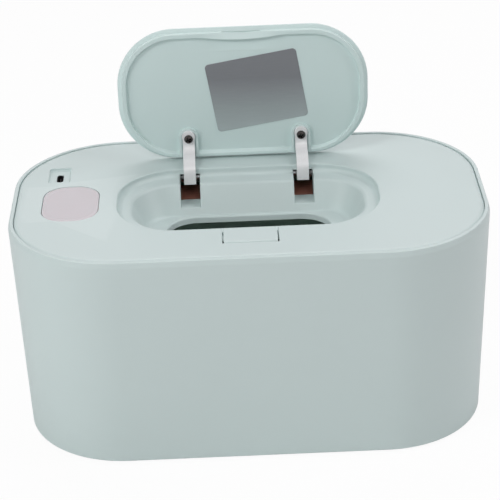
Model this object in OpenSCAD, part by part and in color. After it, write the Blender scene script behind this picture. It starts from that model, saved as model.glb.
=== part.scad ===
// Baby wipe warmer: a tapered housing with an inner tub, and a heated cover that lifts off.
// The cover holds a flip lid on two gooseneck arms, a latch, a power key and a charging socket.
// +Z is up, the front faces -Y, and the origin is on the floor under the middle of the housing.
// The lid is drawn shut inside open_lid(), which swings it to its open rest place.

/* [Housing] */
// Width of the housing at its rim
body_w = 240; // [232:1:250]
// Depth of the housing at its rim
body_d = 146.4; // [144:0.1:152]
// Height from the floor to the top of the cover
body_h = 114; // [112:0.5:122]
// Radius of the housing's corners in plan, at the rim
corner_r = 55; // [54:0.5:57]
// How much each side draws in from the rim to the foot of the housing
side_taper = 3.67; // [2:0.01:4.5]
// Wall thickness of the housing
shell_wall = 2.4; // [2:0.1:2.6]
// Height of the feet below the housing's bottom edge
foot_h = 1.3; // [1:0.1:2]

/* [Cover] */
// Thickness of the cover's top plate
plate_t = 2.2; // [2:0.1:2.4]
// Length of the seat that the lid sinks into
seat_w = 131.9; // [129:0.1:134]
// Depth of that seat, front to back
seat_d = 72.2; // [71:0.1:74]
// Radius of the seat's corners in plan
seat_r = 31.2; // [30.5:0.1:32]
// How far the seat's ledge lies below the top of the cover
seat_deep = 4.2; // [4:0.1:4.6]
// How far the dispensing floor lies below the top of the cover
basin_deep = 19; // [18.5:0.1:19.2]
// Length of the dispensing slot
slot_w = 84; // [76:1:88]

/* [Lid] */
// Angle between the lid shut and the lid open
open_angle = 92.6; // [88:0.1:93]
// Distance from the hinge axis forward to the back wall of the seat
hinge_back = 7.35; // [7.3:0.05:7.6]
// Distance from the top of the cover down to the hinge axis
hinge_deep = 7.6; // [7.5:0.05:7.7]
// Distance between the two hinge arms, centre to centre
arm_pitch = 59; // [56:1:62]
// Width of a hinge arm
arm_w = 6.2; // [5.6:0.1:6.6]

/* [Controls] */
// Width of the latch button
latch_w = 26.6; // [24:0.1:28]
// Length of the latch button, front to back
latch_l = 15.3; // [15:0.1:15.6]
// Width of the power key
key_w = 28.3; // [28:0.1:30]
// Length of the power key, front to back
key_l = 40.4; // [40:0.1:42]
// Travel of the power key
key_travel = 0.6; // [0.4:0.1:0.6]

/* [Hidden] */
$fn = 64;

mint = "#cbdcd8";
mint_dark = "#bccfca";
white = "#e8eaec";
steel = "#b9bcc0";

// Plan of the housing: the centres of its corner arcs, shared by everything that nests in it
plan_x = body_w / 2 - corner_r;
plan_y = body_d / 2 - corner_r;
rim_round = 1.9;
// Radius of the housing's outside about those centres at a height z
function wall_r(z) = corner_r - side_taper * (body_h - rim_round - z) / (body_h - foot_h);
// Radius of the housing's inside about those centres at a height z
function inside_r(z) = wall_r(z) - shell_wall;
// A point of a row of points that is d below the top of the cover
function below(d) = body_h - d;
// Points of an arc from angle a0 to a1
function arc(x, y, r, a0, a1, n = 5) =
    [for (i = [0:n]) let (a = a0 + (a1 - a0) * i / n) [x + r * cos(a), y + r * sin(a)]];

// Housing, tub and tray levels
plate_z = foot_h + 0.4;
plate_base_t = 2.5;
flange_z = 101;
flange_t = 2;
rib_t = 1.8;
rib_in = 3.6;
tub_wall = 1.8;
tub_floor_z = 9;
tub_r_top = 48;
tub_r_low = 45;
seam = 0.35;
cover_low_z = flange_z + flange_t + 0.3;
tray_r = 45.3;
tray_wall = 1.8;
tray_z = 91;
tray_t = 2;
film_z = tray_z + tray_t + 0.4;
film_t = 0.25;

// Seat, basin and slot
seat_y = -3.15;
seat_edge_round = 0.8;
seat_foot_round = 2.5;
seat_wall = 2.2;
seat_cx = seat_w / 2 - seat_r;
seat_cy = seat_d / 2 - seat_r;
seat_front = seat_y - seat_d / 2;
seat_back = seat_y + seat_d / 2;
basin_cx = 37;
basin_cy = 4.35;
basin_r_top = 22;
basin_r_low = 14.4;
slot_d = 35;
slot_r = 15.5;
floor_t = 2.6;
// Inner radius of the basin about its own corner centres, d below the top of the cover
function basin_r(d) = basin_r_top
    - (basin_r_top - basin_r_low) * (d - seat_deep) / (basin_deep - seat_deep);

// Hinge
hinge_y = seat_back + hinge_back;
hinge_z = below(hinge_deep);
pin_r = 1.5;
bore_gap = 0.05;
ear_in = 5.15;
ear_t = 1.8;
sill_d = 15.2;
sill_back = 28;
arm_slot_top = 2.7;
neck_in = 10.7;
neck_out = 13.2;
hub_r = 3.2;
foot_in = 3;
foot_out = 5;
screw_y = 20.4;
foot_tip_y = 19.45;

// Lid, drawn shut
lid_side_gap = 0.85;
lid_back_gap = 0.9;
lid_front_gap = 0.5;
lid_w = seat_w - 2 * lid_side_gap;
lid_d = seat_d - lid_back_gap - lid_front_gap;
lid_r = seat_r - lid_side_gap;
lid_y = seat_y + (lid_front_gap - lid_back_gap) / 2;
lid_cx = lid_w / 2 - lid_r;
lid_cy = lid_d / 2 - lid_r;
lid_t = 2.2;
flange_lid_t = 1.5;
ridge_deep = 4;
ridge_out = 2.1;
ridge_in = 4.5;
catch_w = 42.5;
catch_thick = 1.7;
// Radius of the long arc that bounds the catch's thicker stretch of ridge
catch_arc_r = (pow(catch_w / 2, 2) + pow(catch_thick, 2)) / (2 * catch_thick);
arch_y = 19.9;
arch_in = 3.8;
arch_out = 5;

// Latch
latch_back_y = seat_front - 0.1;
latch_pin_y = -43;
latch_pin_z = below(12.5);
latch_pin_r = 1;
latch_ear_x = 10.6;
latch_ear_t = 1.8;
nose_w = 18;
shelf_z = below(11.5);
shelf_t = 1.5;
spring_y = -51;
spring_r = 2.4;
spring_wire = 0.5;

// Key, board and socket
key_x = -89.65;
key_y = -3.4;
key_r = 12;
key_gap = 0.35;
key_t = 2.6;
lip_t = 1;
lip_out = 1;
board_z = 103.5;
board_t = 1.6;
board_x = [-100.5, -74];
board_y = [-33.5, 40];
board_top = board_z + board_t;
switch_y = 5;
switch_h = 3.4;
plunger_r = 1.7;
socket_x = -97;
socket_y = 31.5;
socket_deep = 1.8;
usb_w = 8.94;
usb_t = 3.26;
usb_wall = 0.3;
board_screw_at = [[-77, 36], [-77, -30], [-97.5, -30]];

cover_screw_at = [[-86, -46], [86, -46], [-86, 46], [86, 46], [-36, -56], [36, -56]];
base_screw_at = [[-40, -50], [40, -50], [-40, 50], [40, 50]];
foot_at = [[-84, -38], [84, -38], [-84, 38], [84, 38]];
boss_r = 3.2;
screw_r = 1.25;
head_r = 2.7;

// ---- Shapes that several pieces share ----

// Rounded rectangle, centred
module rrect(w, d, r) {
    square([w - 2 * r, d], center = true);
    square([w, d - 2 * r], center = true);
    for (x = [-1, 1], y = [-1, 1]) translate([x * (w / 2 - r), y * (d / 2 - r)]) circle(r);
}

// Sweeps a section round a rounded rectangle. The section's x is the distance outwards from
// the corner centres, which lie at (cx, cy), and its y is the height.
module sweep(cx, cy) {
    for (k = [0:3])
        translate([(k == 0 || k == 3 ? 1 : -1) * cx, (k < 2 ? 1 : -1) * cy, 0])
            rotate(90 * k) rotate_extrude(angle = 90, $fn = 96) children();
    for (k = [0, 1]) rotate(180 * k) {
        translate([0, cy, 0]) rotate([90, 0, 90]) linear_extrude(2 * cx, center = true) children();
        translate([cx, 0, 0]) rotate([90, 0, 0]) linear_extrude(2 * cy, center = true) children();
    }
}

// The same sweep for a section that starts at x = 0, filled in the middle from z0 to z1
module swept_solid(cx, cy, z0, z1) {
    sweep(cx, cy) children();
    translate([-cx, -cy, z0]) cube([2 * cx, 2 * cy, z1 - z0]);
}

// Places its children at each point of a list
module at_each(points) {
    for (p = points) translate([p[0], p[1], 0]) children();
}

// Rod along X, centred on x
module rod_x(x, y, z, r, l) {
    translate([x, y, z]) rotate([0, 90, 0]) cylinder(r = r, h = l, center = true);
}

// Plate standing across X, centred on x, from an outline of [y, z] points
module side_plate(x, t, outline) {
    translate([x, 0, 0]) rotate([90, 0, 90]) linear_extrude(t, center = true) polygon(outline);
}

// Pan-head screw pointing up: its head's underside is at z
module screw_up(z, l) {
    translate([0, 0, z]) cylinder(r = screw_r, h = l);
    difference() {
        translate([0, 0, z - 1.4]) cylinder(r = head_r, h = 1.4);
        for (a = [0, 90]) rotate(a) translate([-1.5, -0.3, z - 1.5]) cube([3, 0.6, 0.8]);
    }
}

// Round wire along a list of points, from a start square to the first stretch
module wire(points, r, sides = 6) {
    n = len(points);
    dir = [for (i = [0:n - 1]) let (v = points[min(i + 1, n - 1)] - points[max(i - 1, 0)]) v / norm(v)];
    // Side direction that stays steady along the wire, kept square to it
    side = [for (i = [0:n - 1]) let (a = cross(dir[i], abs(dir[i][0]) < 0.8 ? [1, 0, 0] : [0, 1, 0]))
            a / norm(a)];
    rings = [for (i = [0:n - 1]) let (u = side[i], v = cross(dir[i], u))
             for (k = [0:sides - 1]) points[i] + r * (cos(360 * k / sides) * u
                                                      + sin(360 * k / sides) * v)];
    faces = concat(
        [[for (k = [0:sides - 1]) k]],
        [for (i = [0:n - 2], k = [0:sides - 1]) let (a = i * sides + k, b = i * sides + (k + 1) % sides)
            [a, a + sides, b + sides]],
        [for (i = [0:n - 2], k = [0:sides - 1]) let (a = i * sides + k, b = i * sides + (k + 1) % sides)
            [a, b + sides, b]],
        [[for (k = [sides - 1:-1:0]) (n - 1) * sides + k]]);
    polyhedron(rings, faces);
}

// Swings what is drawn for the shut lid to its open rest place
module open_lid() {
    translate([0, hinge_y, hinge_z]) rotate([-open_angle, 0, 0]) translate([0, -hinge_y, -hinge_z])
        children();
}

// ---- Housing ----

module outer_shell() {
    top = body_h;
    round_z = top - rim_round;
    color(mint) {
        sweep(plan_x, plan_y) polygon(concat(
            [[inside_r(foot_h), foot_h], [wall_r(foot_h) - 0.7, foot_h], [wall_r(foot_h + 0.7), foot_h + 0.7]],
            arc(wall_r(round_z) - rim_round, round_z, rim_round, 0, 90, 6),
            [[inside_r(top) + 0.3, top], [inside_r(top), top - 0.3]]));
        shell_ribs();
    }
}

// Upright ribs that carry the tub's flange on their heads and stop the base plate with their feet
module shell_ribs() {
    low = plate_z + plate_base_t;
    profile = [[inside_r(low) - rib_in, low], [inside_r(low) + shell_wall / 2, low],
               [inside_r(flange_z) + shell_wall / 2, flange_z], [inside_r(flange_z) - rib_in, flange_z]];
    for (side = [0, 180]) rotate(side) {
        for (x = [-50, 0, 50]) translate([x, plan_y, 0]) rotate([90, 0, 90])
            linear_extrude(rib_t, center = true) polygon(profile);
        translate([plan_x, 0, 0]) rotate([90, 0, 0])
            linear_extrude(rib_t, center = true) polygon(profile);
        for (a = [45, 135]) translate([(a < 90 ? 1 : -1) * plan_x, plan_y, 0]) rotate(a) rotate([90, 0, 0])
            linear_extrude(rib_t, center = true) polygon(profile);
    }
}

module inner_tub() {
    top = flange_z + flange_t;
    lip_r = inside_r(top) - 0.3;
    round_r = 8;
    in_low = tub_r_low - tub_wall;
    color(mint_dark) {
        difference() {
            swept_solid(plan_x, plan_y, tub_floor_z, top) polygon(concat(
                [[0, tub_floor_z]],
                arc(tub_r_low - round_r, tub_floor_z + round_r, round_r, -90, -2),
                [[tub_r_top, flange_z], [lip_r, flange_z], [lip_r, top], [0, top]]));
            swept_solid(plan_x, plan_y, tub_floor_z + tub_wall, top + 1) polygon(concat(
                [[0, tub_floor_z + tub_wall]],
                arc(in_low - round_r + tub_wall, tub_floor_z + round_r, round_r - tub_wall, -90, -2),
                [[tub_r_top - tub_wall, top], [tub_r_top - tub_wall, top + 1], [0, top + 1]]));
        }
        at_each(base_screw_at) difference() {
            translate([0, 0, plate_z + plate_base_t]) cylinder(r = boss_r + 0.8, h = 5.2);
            translate([0, 0, plate_z + plate_base_t - 1]) cylinder(r = screw_r, h = 5);
        }
    }
}

module base_plate() {
    r = inside_r(plate_z) - 0.3;
    color(mint_dark) difference() {
        translate([0, 0, plate_z])
            linear_extrude(plate_base_t) rrect(2 * (plan_x + r), 2 * (plan_y + r), r);
        at_each(foot_at) translate([0, 0, plate_z - 1]) cylinder(r = 7, h = 2);
        at_each(base_screw_at) {
            translate([0, 0, plate_z - 1]) cylinder(r = screw_r + 0.2, h = 5);
            translate([0, 0, plate_z - 1]) cylinder(r = head_r + 0.3, h = 2.5);
        }
    }
}

module feet() {
    color("#8f9693") at_each(foot_at) rotate_extrude()
        polygon([[0, 0], [5.7, 0], [6.5, foot_h], [6.9, foot_h + 0.4], [6.9, plate_z + 1], [0, plate_z + 1]]);
}

module base_screws() {
    color(steel) at_each(base_screw_at) screw_up(plate_z + 1.5, 4.8);
}

// ---- Cover ----

// Solid block under the lid seat and the basin, cut out later
module basin_block() {
    top_r = seat_r + seat_wall;
    ledge_low = below(seat_deep + plate_t);
    translate([0, seat_y, 0]) {
        swept_solid(seat_cx, seat_cy, ledge_low, below(plate_t / 2))
            polygon([[0, ledge_low], [top_r, ledge_low], [top_r, below(plate_t / 2)], [0, below(plate_t / 2)]]);
        swept_solid(basin_cx, basin_cy, tray_z, below(seat_deep + 1)) polygon([
            [0, tray_z], [basin_r_low + seat_wall, tray_z], [basin_r_low + seat_wall, below(basin_deep)],
            [basin_r(seat_deep + 1) + seat_wall, below(seat_deep + 1)], [0, below(seat_deep + 1)]]);
    }
}

// Everything that the seat, the basin and the dispensing slot leave open
module basin_space() {
    over = body_h + 1;
    translate([0, seat_y, 0]) {
        swept_solid(seat_cx, seat_cy, below(seat_deep), over) polygon(concat(
            [[0, below(seat_deep)]],
            arc(seat_r - seat_foot_round, below(seat_deep - seat_foot_round), seat_foot_round, -90, 0),
            arc(seat_r + seat_edge_round, below(seat_edge_round), seat_edge_round, 180, 90, 4),
            [[seat_r + seat_edge_round, over], [0, over]]));
        swept_solid(basin_cx, basin_cy, below(basin_deep), below(seat_deep - 1)) polygon(concat(
            [[0, below(basin_deep)], [basin_r_low - 1, below(basin_deep)], [basin_r_low + 0.2, below(basin_deep - 0.8)]],
            [for (p = arc(basin_r_top + 1.1, below(seat_deep + 1.2), 1.2, 160, 90, 4)) p],
            [[basin_r_top + 1.1, below(seat_deep - 1)], [0, below(seat_deep - 1)]]));
        translate([0, 0, tray_z - 1]) {
            linear_extrude(basin_deep) rrect(slot_w, slot_d, slot_r);
            linear_extrude(below(basin_deep + floor_t) - tray_z + 1)
                rrect(2 * (basin_cx + basin_r_low), 2 * (basin_cy + basin_r_low), basin_r_low);
        }
    }
}

// Ears on both sides of each hinge slot, with the sill that closes the slot's foot
module hinge_box(x) {
    for (side = [-1, 1]) side_plate(x + side * (ear_in + ear_t / 2), ear_t, [
        [24.5, below(5)], [33.5, below(5)], [33.5, below(1.5)], [45.5, below(1.5)], [45.5, below(8.5)],
        [44, below(11.5)], [sill_back + 5, below(14)], [sill_back, below(sill_d + 1.6)], [18, below(sill_d + 1.6)]]);
    translate([x - ear_in - ear_t / 2, 17.7, below(sill_d + 1.6)])
        cube([2 * ear_in + ear_t, sill_back - 17.7, 1.6]);
}

// Room for a hinge arm: the slot through the ledge and the basin's back wall, and the pin's bore
module hinge_space(x) {
    // Up through the foot of the seat's wall, to just under the top plate
    translate([x - ear_in, 10, below(sill_d)]) cube([2 * ear_in, 36, sill_d - arm_slot_top]);
    translate([x - ear_in, sill_back, below(sill_d + 4)]) cube([2 * ear_in, 20, 6]);
    rod_x(x, hinge_y, hinge_z, pin_r, 2 * (ear_in + ear_t) + 1);
}

// Ears that hold the latch's pin, with the shelf under its spring
module latch_mount() {
    for (side = [-1, 1]) side_plate(side * (latch_ear_x + latch_ear_t / 2), latch_ear_t, [
        [-29, below(5)], [-41.2, below(5)], [-41.2, below(7)], [-45.5, below(10)], [-55, below(10)],
        [-55, below(12.5)], [-45.5, below(14.5)], [-41, below(15.5)], [-26.5, below(15.5)]]);
    translate([-latch_ear_x - 1, -55, shelf_z - shelf_t]) cube([2 * latch_ear_x + 2, 7, shelf_t]);
}

module top_cover() {
    skirt_r = inside_r(body_h) - seam;
    skirt_low_r = inside_r(cover_low_z) - seam;
    skirt_in = skirt_low_r - 2;
    color(mint) difference() {
        union() {
            swept_solid(plan_x, plan_y, below(plate_t), body_h) polygon(concat(
                [[0, below(plate_t)], [skirt_in, below(plate_t)], [skirt_in, cover_low_z], [skirt_low_r, cover_low_z]],
                arc(skirt_r - 0.5, body_h - 0.5, 0.5, 0, 90, 3),
                [[0, body_h]]));
            basin_block();
            for (side = [-1, 1]) hinge_box(side * arm_pitch / 2);
            latch_mount();
            at_each(cover_screw_at) translate([0, 0, film_z + 2.1])
                cylinder(r = boss_r, h = below(plate_t / 2) - film_z - 2.1);
            at_each(board_screw_at) translate([0, 0, board_top])
                cylinder(r = 2.6, h = below(plate_t / 2) - board_top);
            translate([socket_x - 8, socket_y - 11.5, below(socket_deep + 2.4)]) cube([16, 23, 3]);
        }
        basin_space();
        for (side = [-1, 1]) hinge_space(side * arm_pitch / 2);
        latch_space();
        key_space();
        socket_space();
        at_each(cover_screw_at) translate([0, 0, film_z]) cylinder(r = screw_r, h = 11);
        at_each(board_screw_at) translate([0, 0, board_top - 1]) cylinder(r = 1, h = 5.5);
    }
}

// Notch for the latch button. Its front wall slopes away below, because the button tips forward.
module latch_space() {
    front = latch_back_y - latch_l - 0.7;
    translate([-latch_w / 2 - 0.6, 0, 0]) rotate([90, 0, 90]) linear_extrude(latch_w + 1.2)
        polygon([[seat_front + seat_foot_round, body_h + 1], [seat_front + seat_foot_round, below(seat_deep)],
                 [seat_front - seat_wall - 0.2, below(seat_deep)], [seat_front - seat_wall - 0.2, below(6)],
                 [front - 1.3, below(6)], [front - 0.9, below(plate_t)], [front, below(0.2)], [front - 0.2, body_h + 1]]);
    rod_x(0, latch_pin_y, latch_pin_z, latch_pin_r, 2 * (latch_ear_x + latch_ear_t) + 1);
}

module key_space() {
    translate([key_x, key_y, below(6)]) linear_extrude(8)
        rrect(key_w + 2 * key_gap, key_l + 2 * key_gap, key_r + key_gap);
}

module usb_outline(grow) {
    r = usb_t / 2 + grow;
    rrect(usb_t + 2 * grow, usb_w + 2 * grow, r - 0.01);
}

module socket_space() {
    translate([socket_x, socket_y, below(socket_deep)]) linear_extrude(4) rrect(11, 18, 1.2);
    translate([socket_x, socket_y, board_top]) linear_extrude(12) usb_outline(0.1);
}

// Shallow tray under the cover: it carries the heater and goes down into the tub
module cover_underplate() {
    top = cover_low_z + 2;
    lip_r = inside_r(cover_low_z) - seam - 2.3;
    color(mint_dark) difference() {
        union() {
            difference() {
                swept_solid(plan_x, plan_y, tray_z, top) polygon([
                    [0, tray_z], [tray_r - 1, tray_z], [tray_r, tray_z + 1], [tray_r, cover_low_z],
                    [lip_r, cover_low_z], [lip_r, top], [0, top]]);
                swept_solid(plan_x, plan_y, tray_z + tray_t, top + 1) polygon([
                    [0, tray_z + tray_t], [tray_r - tray_wall, tray_z + tray_t],
                    [tray_r - tray_wall, top + 1], [0, top + 1]]);
            }
            at_each(cover_screw_at) translate([0, 0, tray_z]) cylinder(r = boss_r + 1.2, h = film_z + 2.1 - tray_z);
        }
        translate([0, seat_y, tray_z - 1]) linear_extrude(tray_t + 2)
            rrect(2 * (basin_cx + basin_r_low + seat_wall + 0.4),
                  2 * (basin_cy + basin_r_low + seat_wall + 0.4), basin_r_low + seat_wall + 0.4);
        at_each(cover_screw_at) {
            translate([0, 0, tray_z - 1]) cylinder(r = screw_r + 0.25, h = 8);
            translate([0, 0, tray_z - 1]) cylinder(r = head_r + 0.4, h = 3.2);
        }
        // Groove for the gasket
        sweep(plan_x, plan_y) translate([46.4, cover_low_z - 1]) square([2.4, 2]);
    }
}

module cover_screws() {
    color(steel) at_each(cover_screw_at) screw_up(tray_z + 2.2, 9);
}

module cover_gasket() {
    low = flange_z + flange_t;
    color("#dfe3e2") sweep(plan_x, plan_y)
        polygon([[46.6, low + 0.4], [47.2, low], [48, low], [48.6, low + 0.4], [48.6, cover_low_z + 1], [46.6, cover_low_z + 1]]);
}

// Outline that the heater and its spreader share: clear of the basin and of the screw bosses
module heater_outline(inset) {
    difference() {
        rrect(2 * (plan_x + 40 - inset), 2 * (plan_y + 40 - inset), 40 - inset);
        translate([0, seat_y]) rrect(2 * (basin_cx + 18.4 + inset), 2 * (basin_cy + 18.4 + inset), 18.4 + inset);
        for (p = cover_screw_at) translate(p) circle(boss_r + 2.2 + inset);
    }
}

module heat_spreader() {
    color("#c9cdd1") translate([0, 0, tray_z + tray_t]) linear_extrude(film_z - tray_z - tray_t) heater_outline(0);
}

module heater_film() {
    color("#7a4a35") translate([0, 0, film_z]) linear_extrude(film_t) heater_outline(1);
}

module temperature_sensor() {
    color("#2c2c2e") {
        translate([-60, -38, film_z + film_t]) cylinder(r = 2.2, h = 1.6);
        translate([-66, -39.2, film_z + film_t]) cube([5, 2.4, 0.8]);
    }
}

// Two leads from the board's underside to the film's pads, with a slack bend
module heater_leads() {
    color("#b3262a") for (k = [0, 1]) {
        x = -92 + 5 * k;
        z0 = film_z + film_t;
        straight = 0.8;
        rise = board_z - z0 - 2 * straight;
        wire(concat([[x, 24, z0]],
            [for (i = [0:10]) let (s = i / 10)
                [x + 2 * (1 - cos(360 * s)), 27 - 3 * cos(180 * s), z0 + straight + rise * s]],
            [[x, 30, board_z]]), 0.7, 8);
    }
}

// ---- Board and controls ----

module control_board() {
    color("#2f6b4a") difference() {
        translate([(board_x[0] + board_x[1]) / 2, (board_y[0] + board_y[1]) / 2, board_z])
            linear_extrude(board_t) rrect(board_x[1] - board_x[0], board_y[1] - board_y[0], 2);
        at_each(board_screw_at) translate([0, 0, board_z - 1]) cylinder(r = 1.1, h = 4);
    }
}

module board_parts() {
    color("#3a3d40") translate([0, 0, board_top]) {
        translate([-89, 22, 0]) cube([5, 4, 1.6]);
        translate([-90, 14, 0]) cube([4, 4, 1.2]);
        translate([-79, -16, 0]) cube([3, 6, 1.1]);
        translate([-78, 24, 0]) cylinder(r = 2.5, h = 5.4);
        translate([-87, 33.5, 0]) cylinder(r = 2, h = 4.2);
    }
}

module board_screws() {
    color(steel) at_each(board_screw_at) {
        translate([0, 0, board_z - 1.2]) cylinder(r = 2, h = 1.2);
        translate([0, 0, board_z]) cylinder(r = 1, h = 5.5);
    }
}

module display_module() {
    color("#26282b") translate([key_x - 9, -19, board_top]) {
        cube([18, 11, 3]);
        translate([1, 1, 3]) cube([16, 9, 0.8]);
    }
}

module key_switch() {
    color("#46484c") difference() {
        translate([key_x - 3, switch_y - 3, board_top]) cube([6, 6, switch_h]);
        translate([key_x, switch_y, board_top + 1.3]) cylinder(r = plunger_r + bore_gap, h = switch_h);
    }
}

module switch_plunger() {
    color("#1d1e20") translate([key_x, switch_y, board_top + 2]) cylinder(r = plunger_r, h = 3);
}

// Translucent push key with a retaining lip and a post over the switch
module power_key() {
    color("#cfc9ce") {
        translate([key_x, key_y, 0]) {
            translate([0, 0, below(key_t)]) linear_extrude(key_t) rrect(key_w, key_l, key_r);
            translate([0, 0, below(plate_t + lip_t)]) linear_extrude(lip_t)
                rrect(key_w + 2 * lip_out, key_l + 2 * lip_out, key_r + lip_out);
        }
        translate([key_x, switch_y, board_top + 5])
            cylinder(r = 2, h = below(plate_t) - board_top - 5);
    }
}

module socket_shell() {
    low = board_top;
    high = below(socket_deep + 0.4);
    color(steel) translate([socket_x, socket_y, low]) difference() {
        linear_extrude(high - low) usb_outline(0);
        translate([0, 0, 1.2]) linear_extrude(high - low) usb_outline(-usb_wall);
    }
}

module socket_tongue() {
    color("#1f2022") translate([socket_x - 0.35, socket_y - 3.35, board_top + 1.2]) cube([0.7, 6.7, 4.3]);
}

// ---- Hinge ----

module hinge_pins() {
    color(steel) for (side = [-1, 1])
        rod_x(side * arm_pitch / 2, hinge_y, hinge_z, pin_r, 2 * (ear_in + ear_t));
}

// A coil round each pin, between the arm's hub and the outer ear. One leg lies under the arm's
// web and the other reaches up to the cover's plate.
module torsion_springs() {
    turns = 2.25;
    coil_r = 2.3;
    wire_r = 0.25;
    start = arm_w / 2 + 0.35;
    span = ear_in - arm_w / 2 - 0.7;
    color(steel) for (side = [-1, 1]) mirror([side < 0 ? 1 : 0, 0, 0])
        translate([arm_pitch / 2, hinge_y, hinge_z]) wire(concat(
            [[start, -6.5, -coil_r]],
            [for (i = [0:32]) let (a = -90 + 360 * turns * i / 32)
                [start + span * i / 32, coil_r * cos(a), coil_r * sin(a)]],
            [[start + span, coil_r - 0.4, 4.6]]), wire_r, 6);
}

// Side view of a gooseneck arm about the hinge axis: x is back, y is up, with the lid shut
module arm_profile() {
    foot_top = hinge_deep - foot_in;
    foot_low = hinge_deep - foot_out;
    limb_top = -8.2;
    limb_low = -10.7;
    difference() {
        union() {
            translate([foot_tip_y - hinge_y, foot_low])
                square([hinge_y - foot_tip_y - 10, foot_top - foot_low]);
            intersection() {
                difference() {
                    circle(neck_out);
                    circle(neck_in);
                }
                polygon([[-20, foot_top], [-9.7, foot_top], [0, 0], [0, limb_low], [-20, limb_low]]);
            }
            translate([-7.2, limb_low]) square([7.6, limb_top - limb_low]);
            polygon([[-2.5, limb_top - 0.5], [0.4, limb_low], [3, -1.2], [-2.8, -1.5]]);
            circle(hub_r);
        }
        circle(pin_r + bore_gap);
    }
}

module hinge_arm(x) {
    color(white) open_lid() difference() {
        union() {
            translate([x, hinge_y, hinge_z]) rotate([90, 0, 90])
                linear_extrude(arm_w, center = true) arm_profile();
            translate([x, foot_tip_y, below(foot_out)]) cylinder(r = arm_w / 2, h = foot_out - foot_in);
        }
        translate([x, screw_y, below(foot_out + 1)]) cylinder(r = screw_r + 0.1, h = 4);
    }
}

module hinge_arm_left() { hinge_arm(-arm_pitch / 2); }

module hinge_arm_right() { hinge_arm(arm_pitch / 2); }

// ---- Lid ----

// Plan of one arch-shaped boss wall, open towards the hinge, grown or filled as asked
module arch_plan(r) {
    circle(r);
    translate([-r, 0]) square([2 * r, lid_y + lid_d / 2 - ridge_out - 0.3 - arch_y]);
}

module lid() {
    ridge_r_out = lid_r - ridge_out;
    ridge_r_in = lid_r - ridge_in;
    front = lid_y - lid_d / 2;
    color(mint) open_lid() difference() {
        union() {
            translate([0, lid_y, 0]) swept_solid(lid_cx, lid_cy, below(lid_t), body_h) polygon(concat(
                [[0, below(lid_t)], [ridge_r_in - 0.6, below(lid_t)], [ridge_r_in, below(lid_t + 0.6)],
                 [ridge_r_in, below(ridge_deep - 0.3)], [ridge_r_in + 0.3, below(ridge_deep)],
                 [ridge_r_out - 0.3, below(ridge_deep)], [ridge_r_out, below(ridge_deep - 0.3)],
                 [ridge_r_out, below(flange_lid_t)], [lid_r - 0.4, below(flange_lid_t)], [lid_r, below(1.1)]],
                arc(lid_r - 0.8, below(0.8), 0.8, 0, 90, 4),
                [[0, body_h]]));
            // Thicker stretch of the front ridge that holds the catch, bounded by one long arc
            translate([0, front + ridge_in, below(ridge_deep)])
                linear_extrude(ridge_deep - lid_t + 0.5) intersection() {
                    translate([0, catch_thick - catch_arc_r]) circle(catch_arc_r, $fn = 360);
                    translate([-catch_w / 2, -1]) square([catch_w, catch_thick + 2]);
                }
            for (side = [-1, 1]) translate([side * arm_pitch / 2, arch_y, below(ridge_deep)])
                linear_extrude(ridge_deep - lid_t + 0.5) arch_plan(arch_out);
        }
        for (side = [-1, 1]) {
            // Channel for the arm's foot, through the ridge
            translate([side * arm_pitch / 2, arch_y, below(ridge_deep + 1)])
                linear_extrude(ridge_deep + 1 - foot_in) {
                    circle(arch_in);
                    translate([-arch_in, 0]) square([2 * arch_in, 14]);
                }
            translate([side * arm_pitch / 2, screw_y, below(foot_in + 1)]) cylinder(r = screw_r, h = 3);
        }
        // Catch pocket in the ridge's outer face
        translate([-nose_w / 2 - 1, front + ridge_out - 0.5, below(3.2)])
            cube([nose_w + 2, 1.7, 1.4]);
    }
}

module lid_screws() {
    color(steel) open_lid() for (side = [-1, 1]) translate([side * arm_pitch / 2, screw_y, 0]) difference() {
        union() {
            translate([0, 0, below(foot_out)]) cylinder(r = screw_r, h = 4);
            translate([0, 0, below(foot_out)]) mirror([0, 0, 1]) rotate_extrude()
                polygon(concat([[0, 0], [2.5, 0], [2.5, 0.6]], arc(1.7, 0.6, 0.8, 0, 90, 4), [[0, 1.5]]));
        }
        for (a = [0, 90]) rotate(a) translate([-1.4, -0.3, below(foot_out + 1.6)]) cube([2.8, 0.6, 0.9]);
    }
}

module label_plate() {
    color("#8b9296") open_lid() translate([7.1, -4.2, below(lid_t + 0.3)]) rotate(-8.3)
        linear_extrude(0.3) rrect(48, 37.5, 2);
}

// ---- Latch ----

module latch_button() {
    front = latch_back_y - latch_l;
    color(mint) difference() {
        union() {
            // Push plate with a rounded front edge
            translate([-latch_w / 2, 0, 0]) rotate([90, 0, 90]) linear_extrude(latch_w) polygon(concat(
                [[latch_back_y, below(2)], [latch_back_y, below(0.3)], [latch_back_y - 0.3, body_h]],
                arc(front + 1.2, below(1.2), 1.2, 90, 180, 4), [[front, below(2)]]));
            // Nose that holds the lid's catch, sloped above so that the lid can push past it
            side_plate(0, nose_w, [
                [latch_back_y - 1.6, below(1.8)], [latch_back_y, below(1.8)], [latch_back_y, below(2)],
                [-36.7, below(2)], [-36.1, below(2.6)], [-36.3, below(3)], [latch_back_y, below(3)],
                [latch_back_y, below(4)], [latch_back_y - 1.6, below(4)]]);
            // Web down to the pin's barrel
            side_plate(0, 2 * latch_ear_x - 1.6, [
                [-43.9, below(1.8)], [-42.2, below(1.8)], [-42.2, below(9)], [-41.2, latch_pin_z],
                [-44.8, latch_pin_z], [-44.2, below(9)]]);
            rod_x(0, latch_pin_y, latch_pin_z, 2.1, 2 * latch_ear_x - 0.6);
        }
        rod_x(0, latch_pin_y, latch_pin_z, latch_pin_r + bore_gap, 2 * latch_ear_x + 2);
    }
}

module latch_pin() {
    color(steel) rod_x(0, latch_pin_y, latch_pin_z, latch_pin_r, 2 * (latch_ear_x + latch_ear_t));
}

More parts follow.
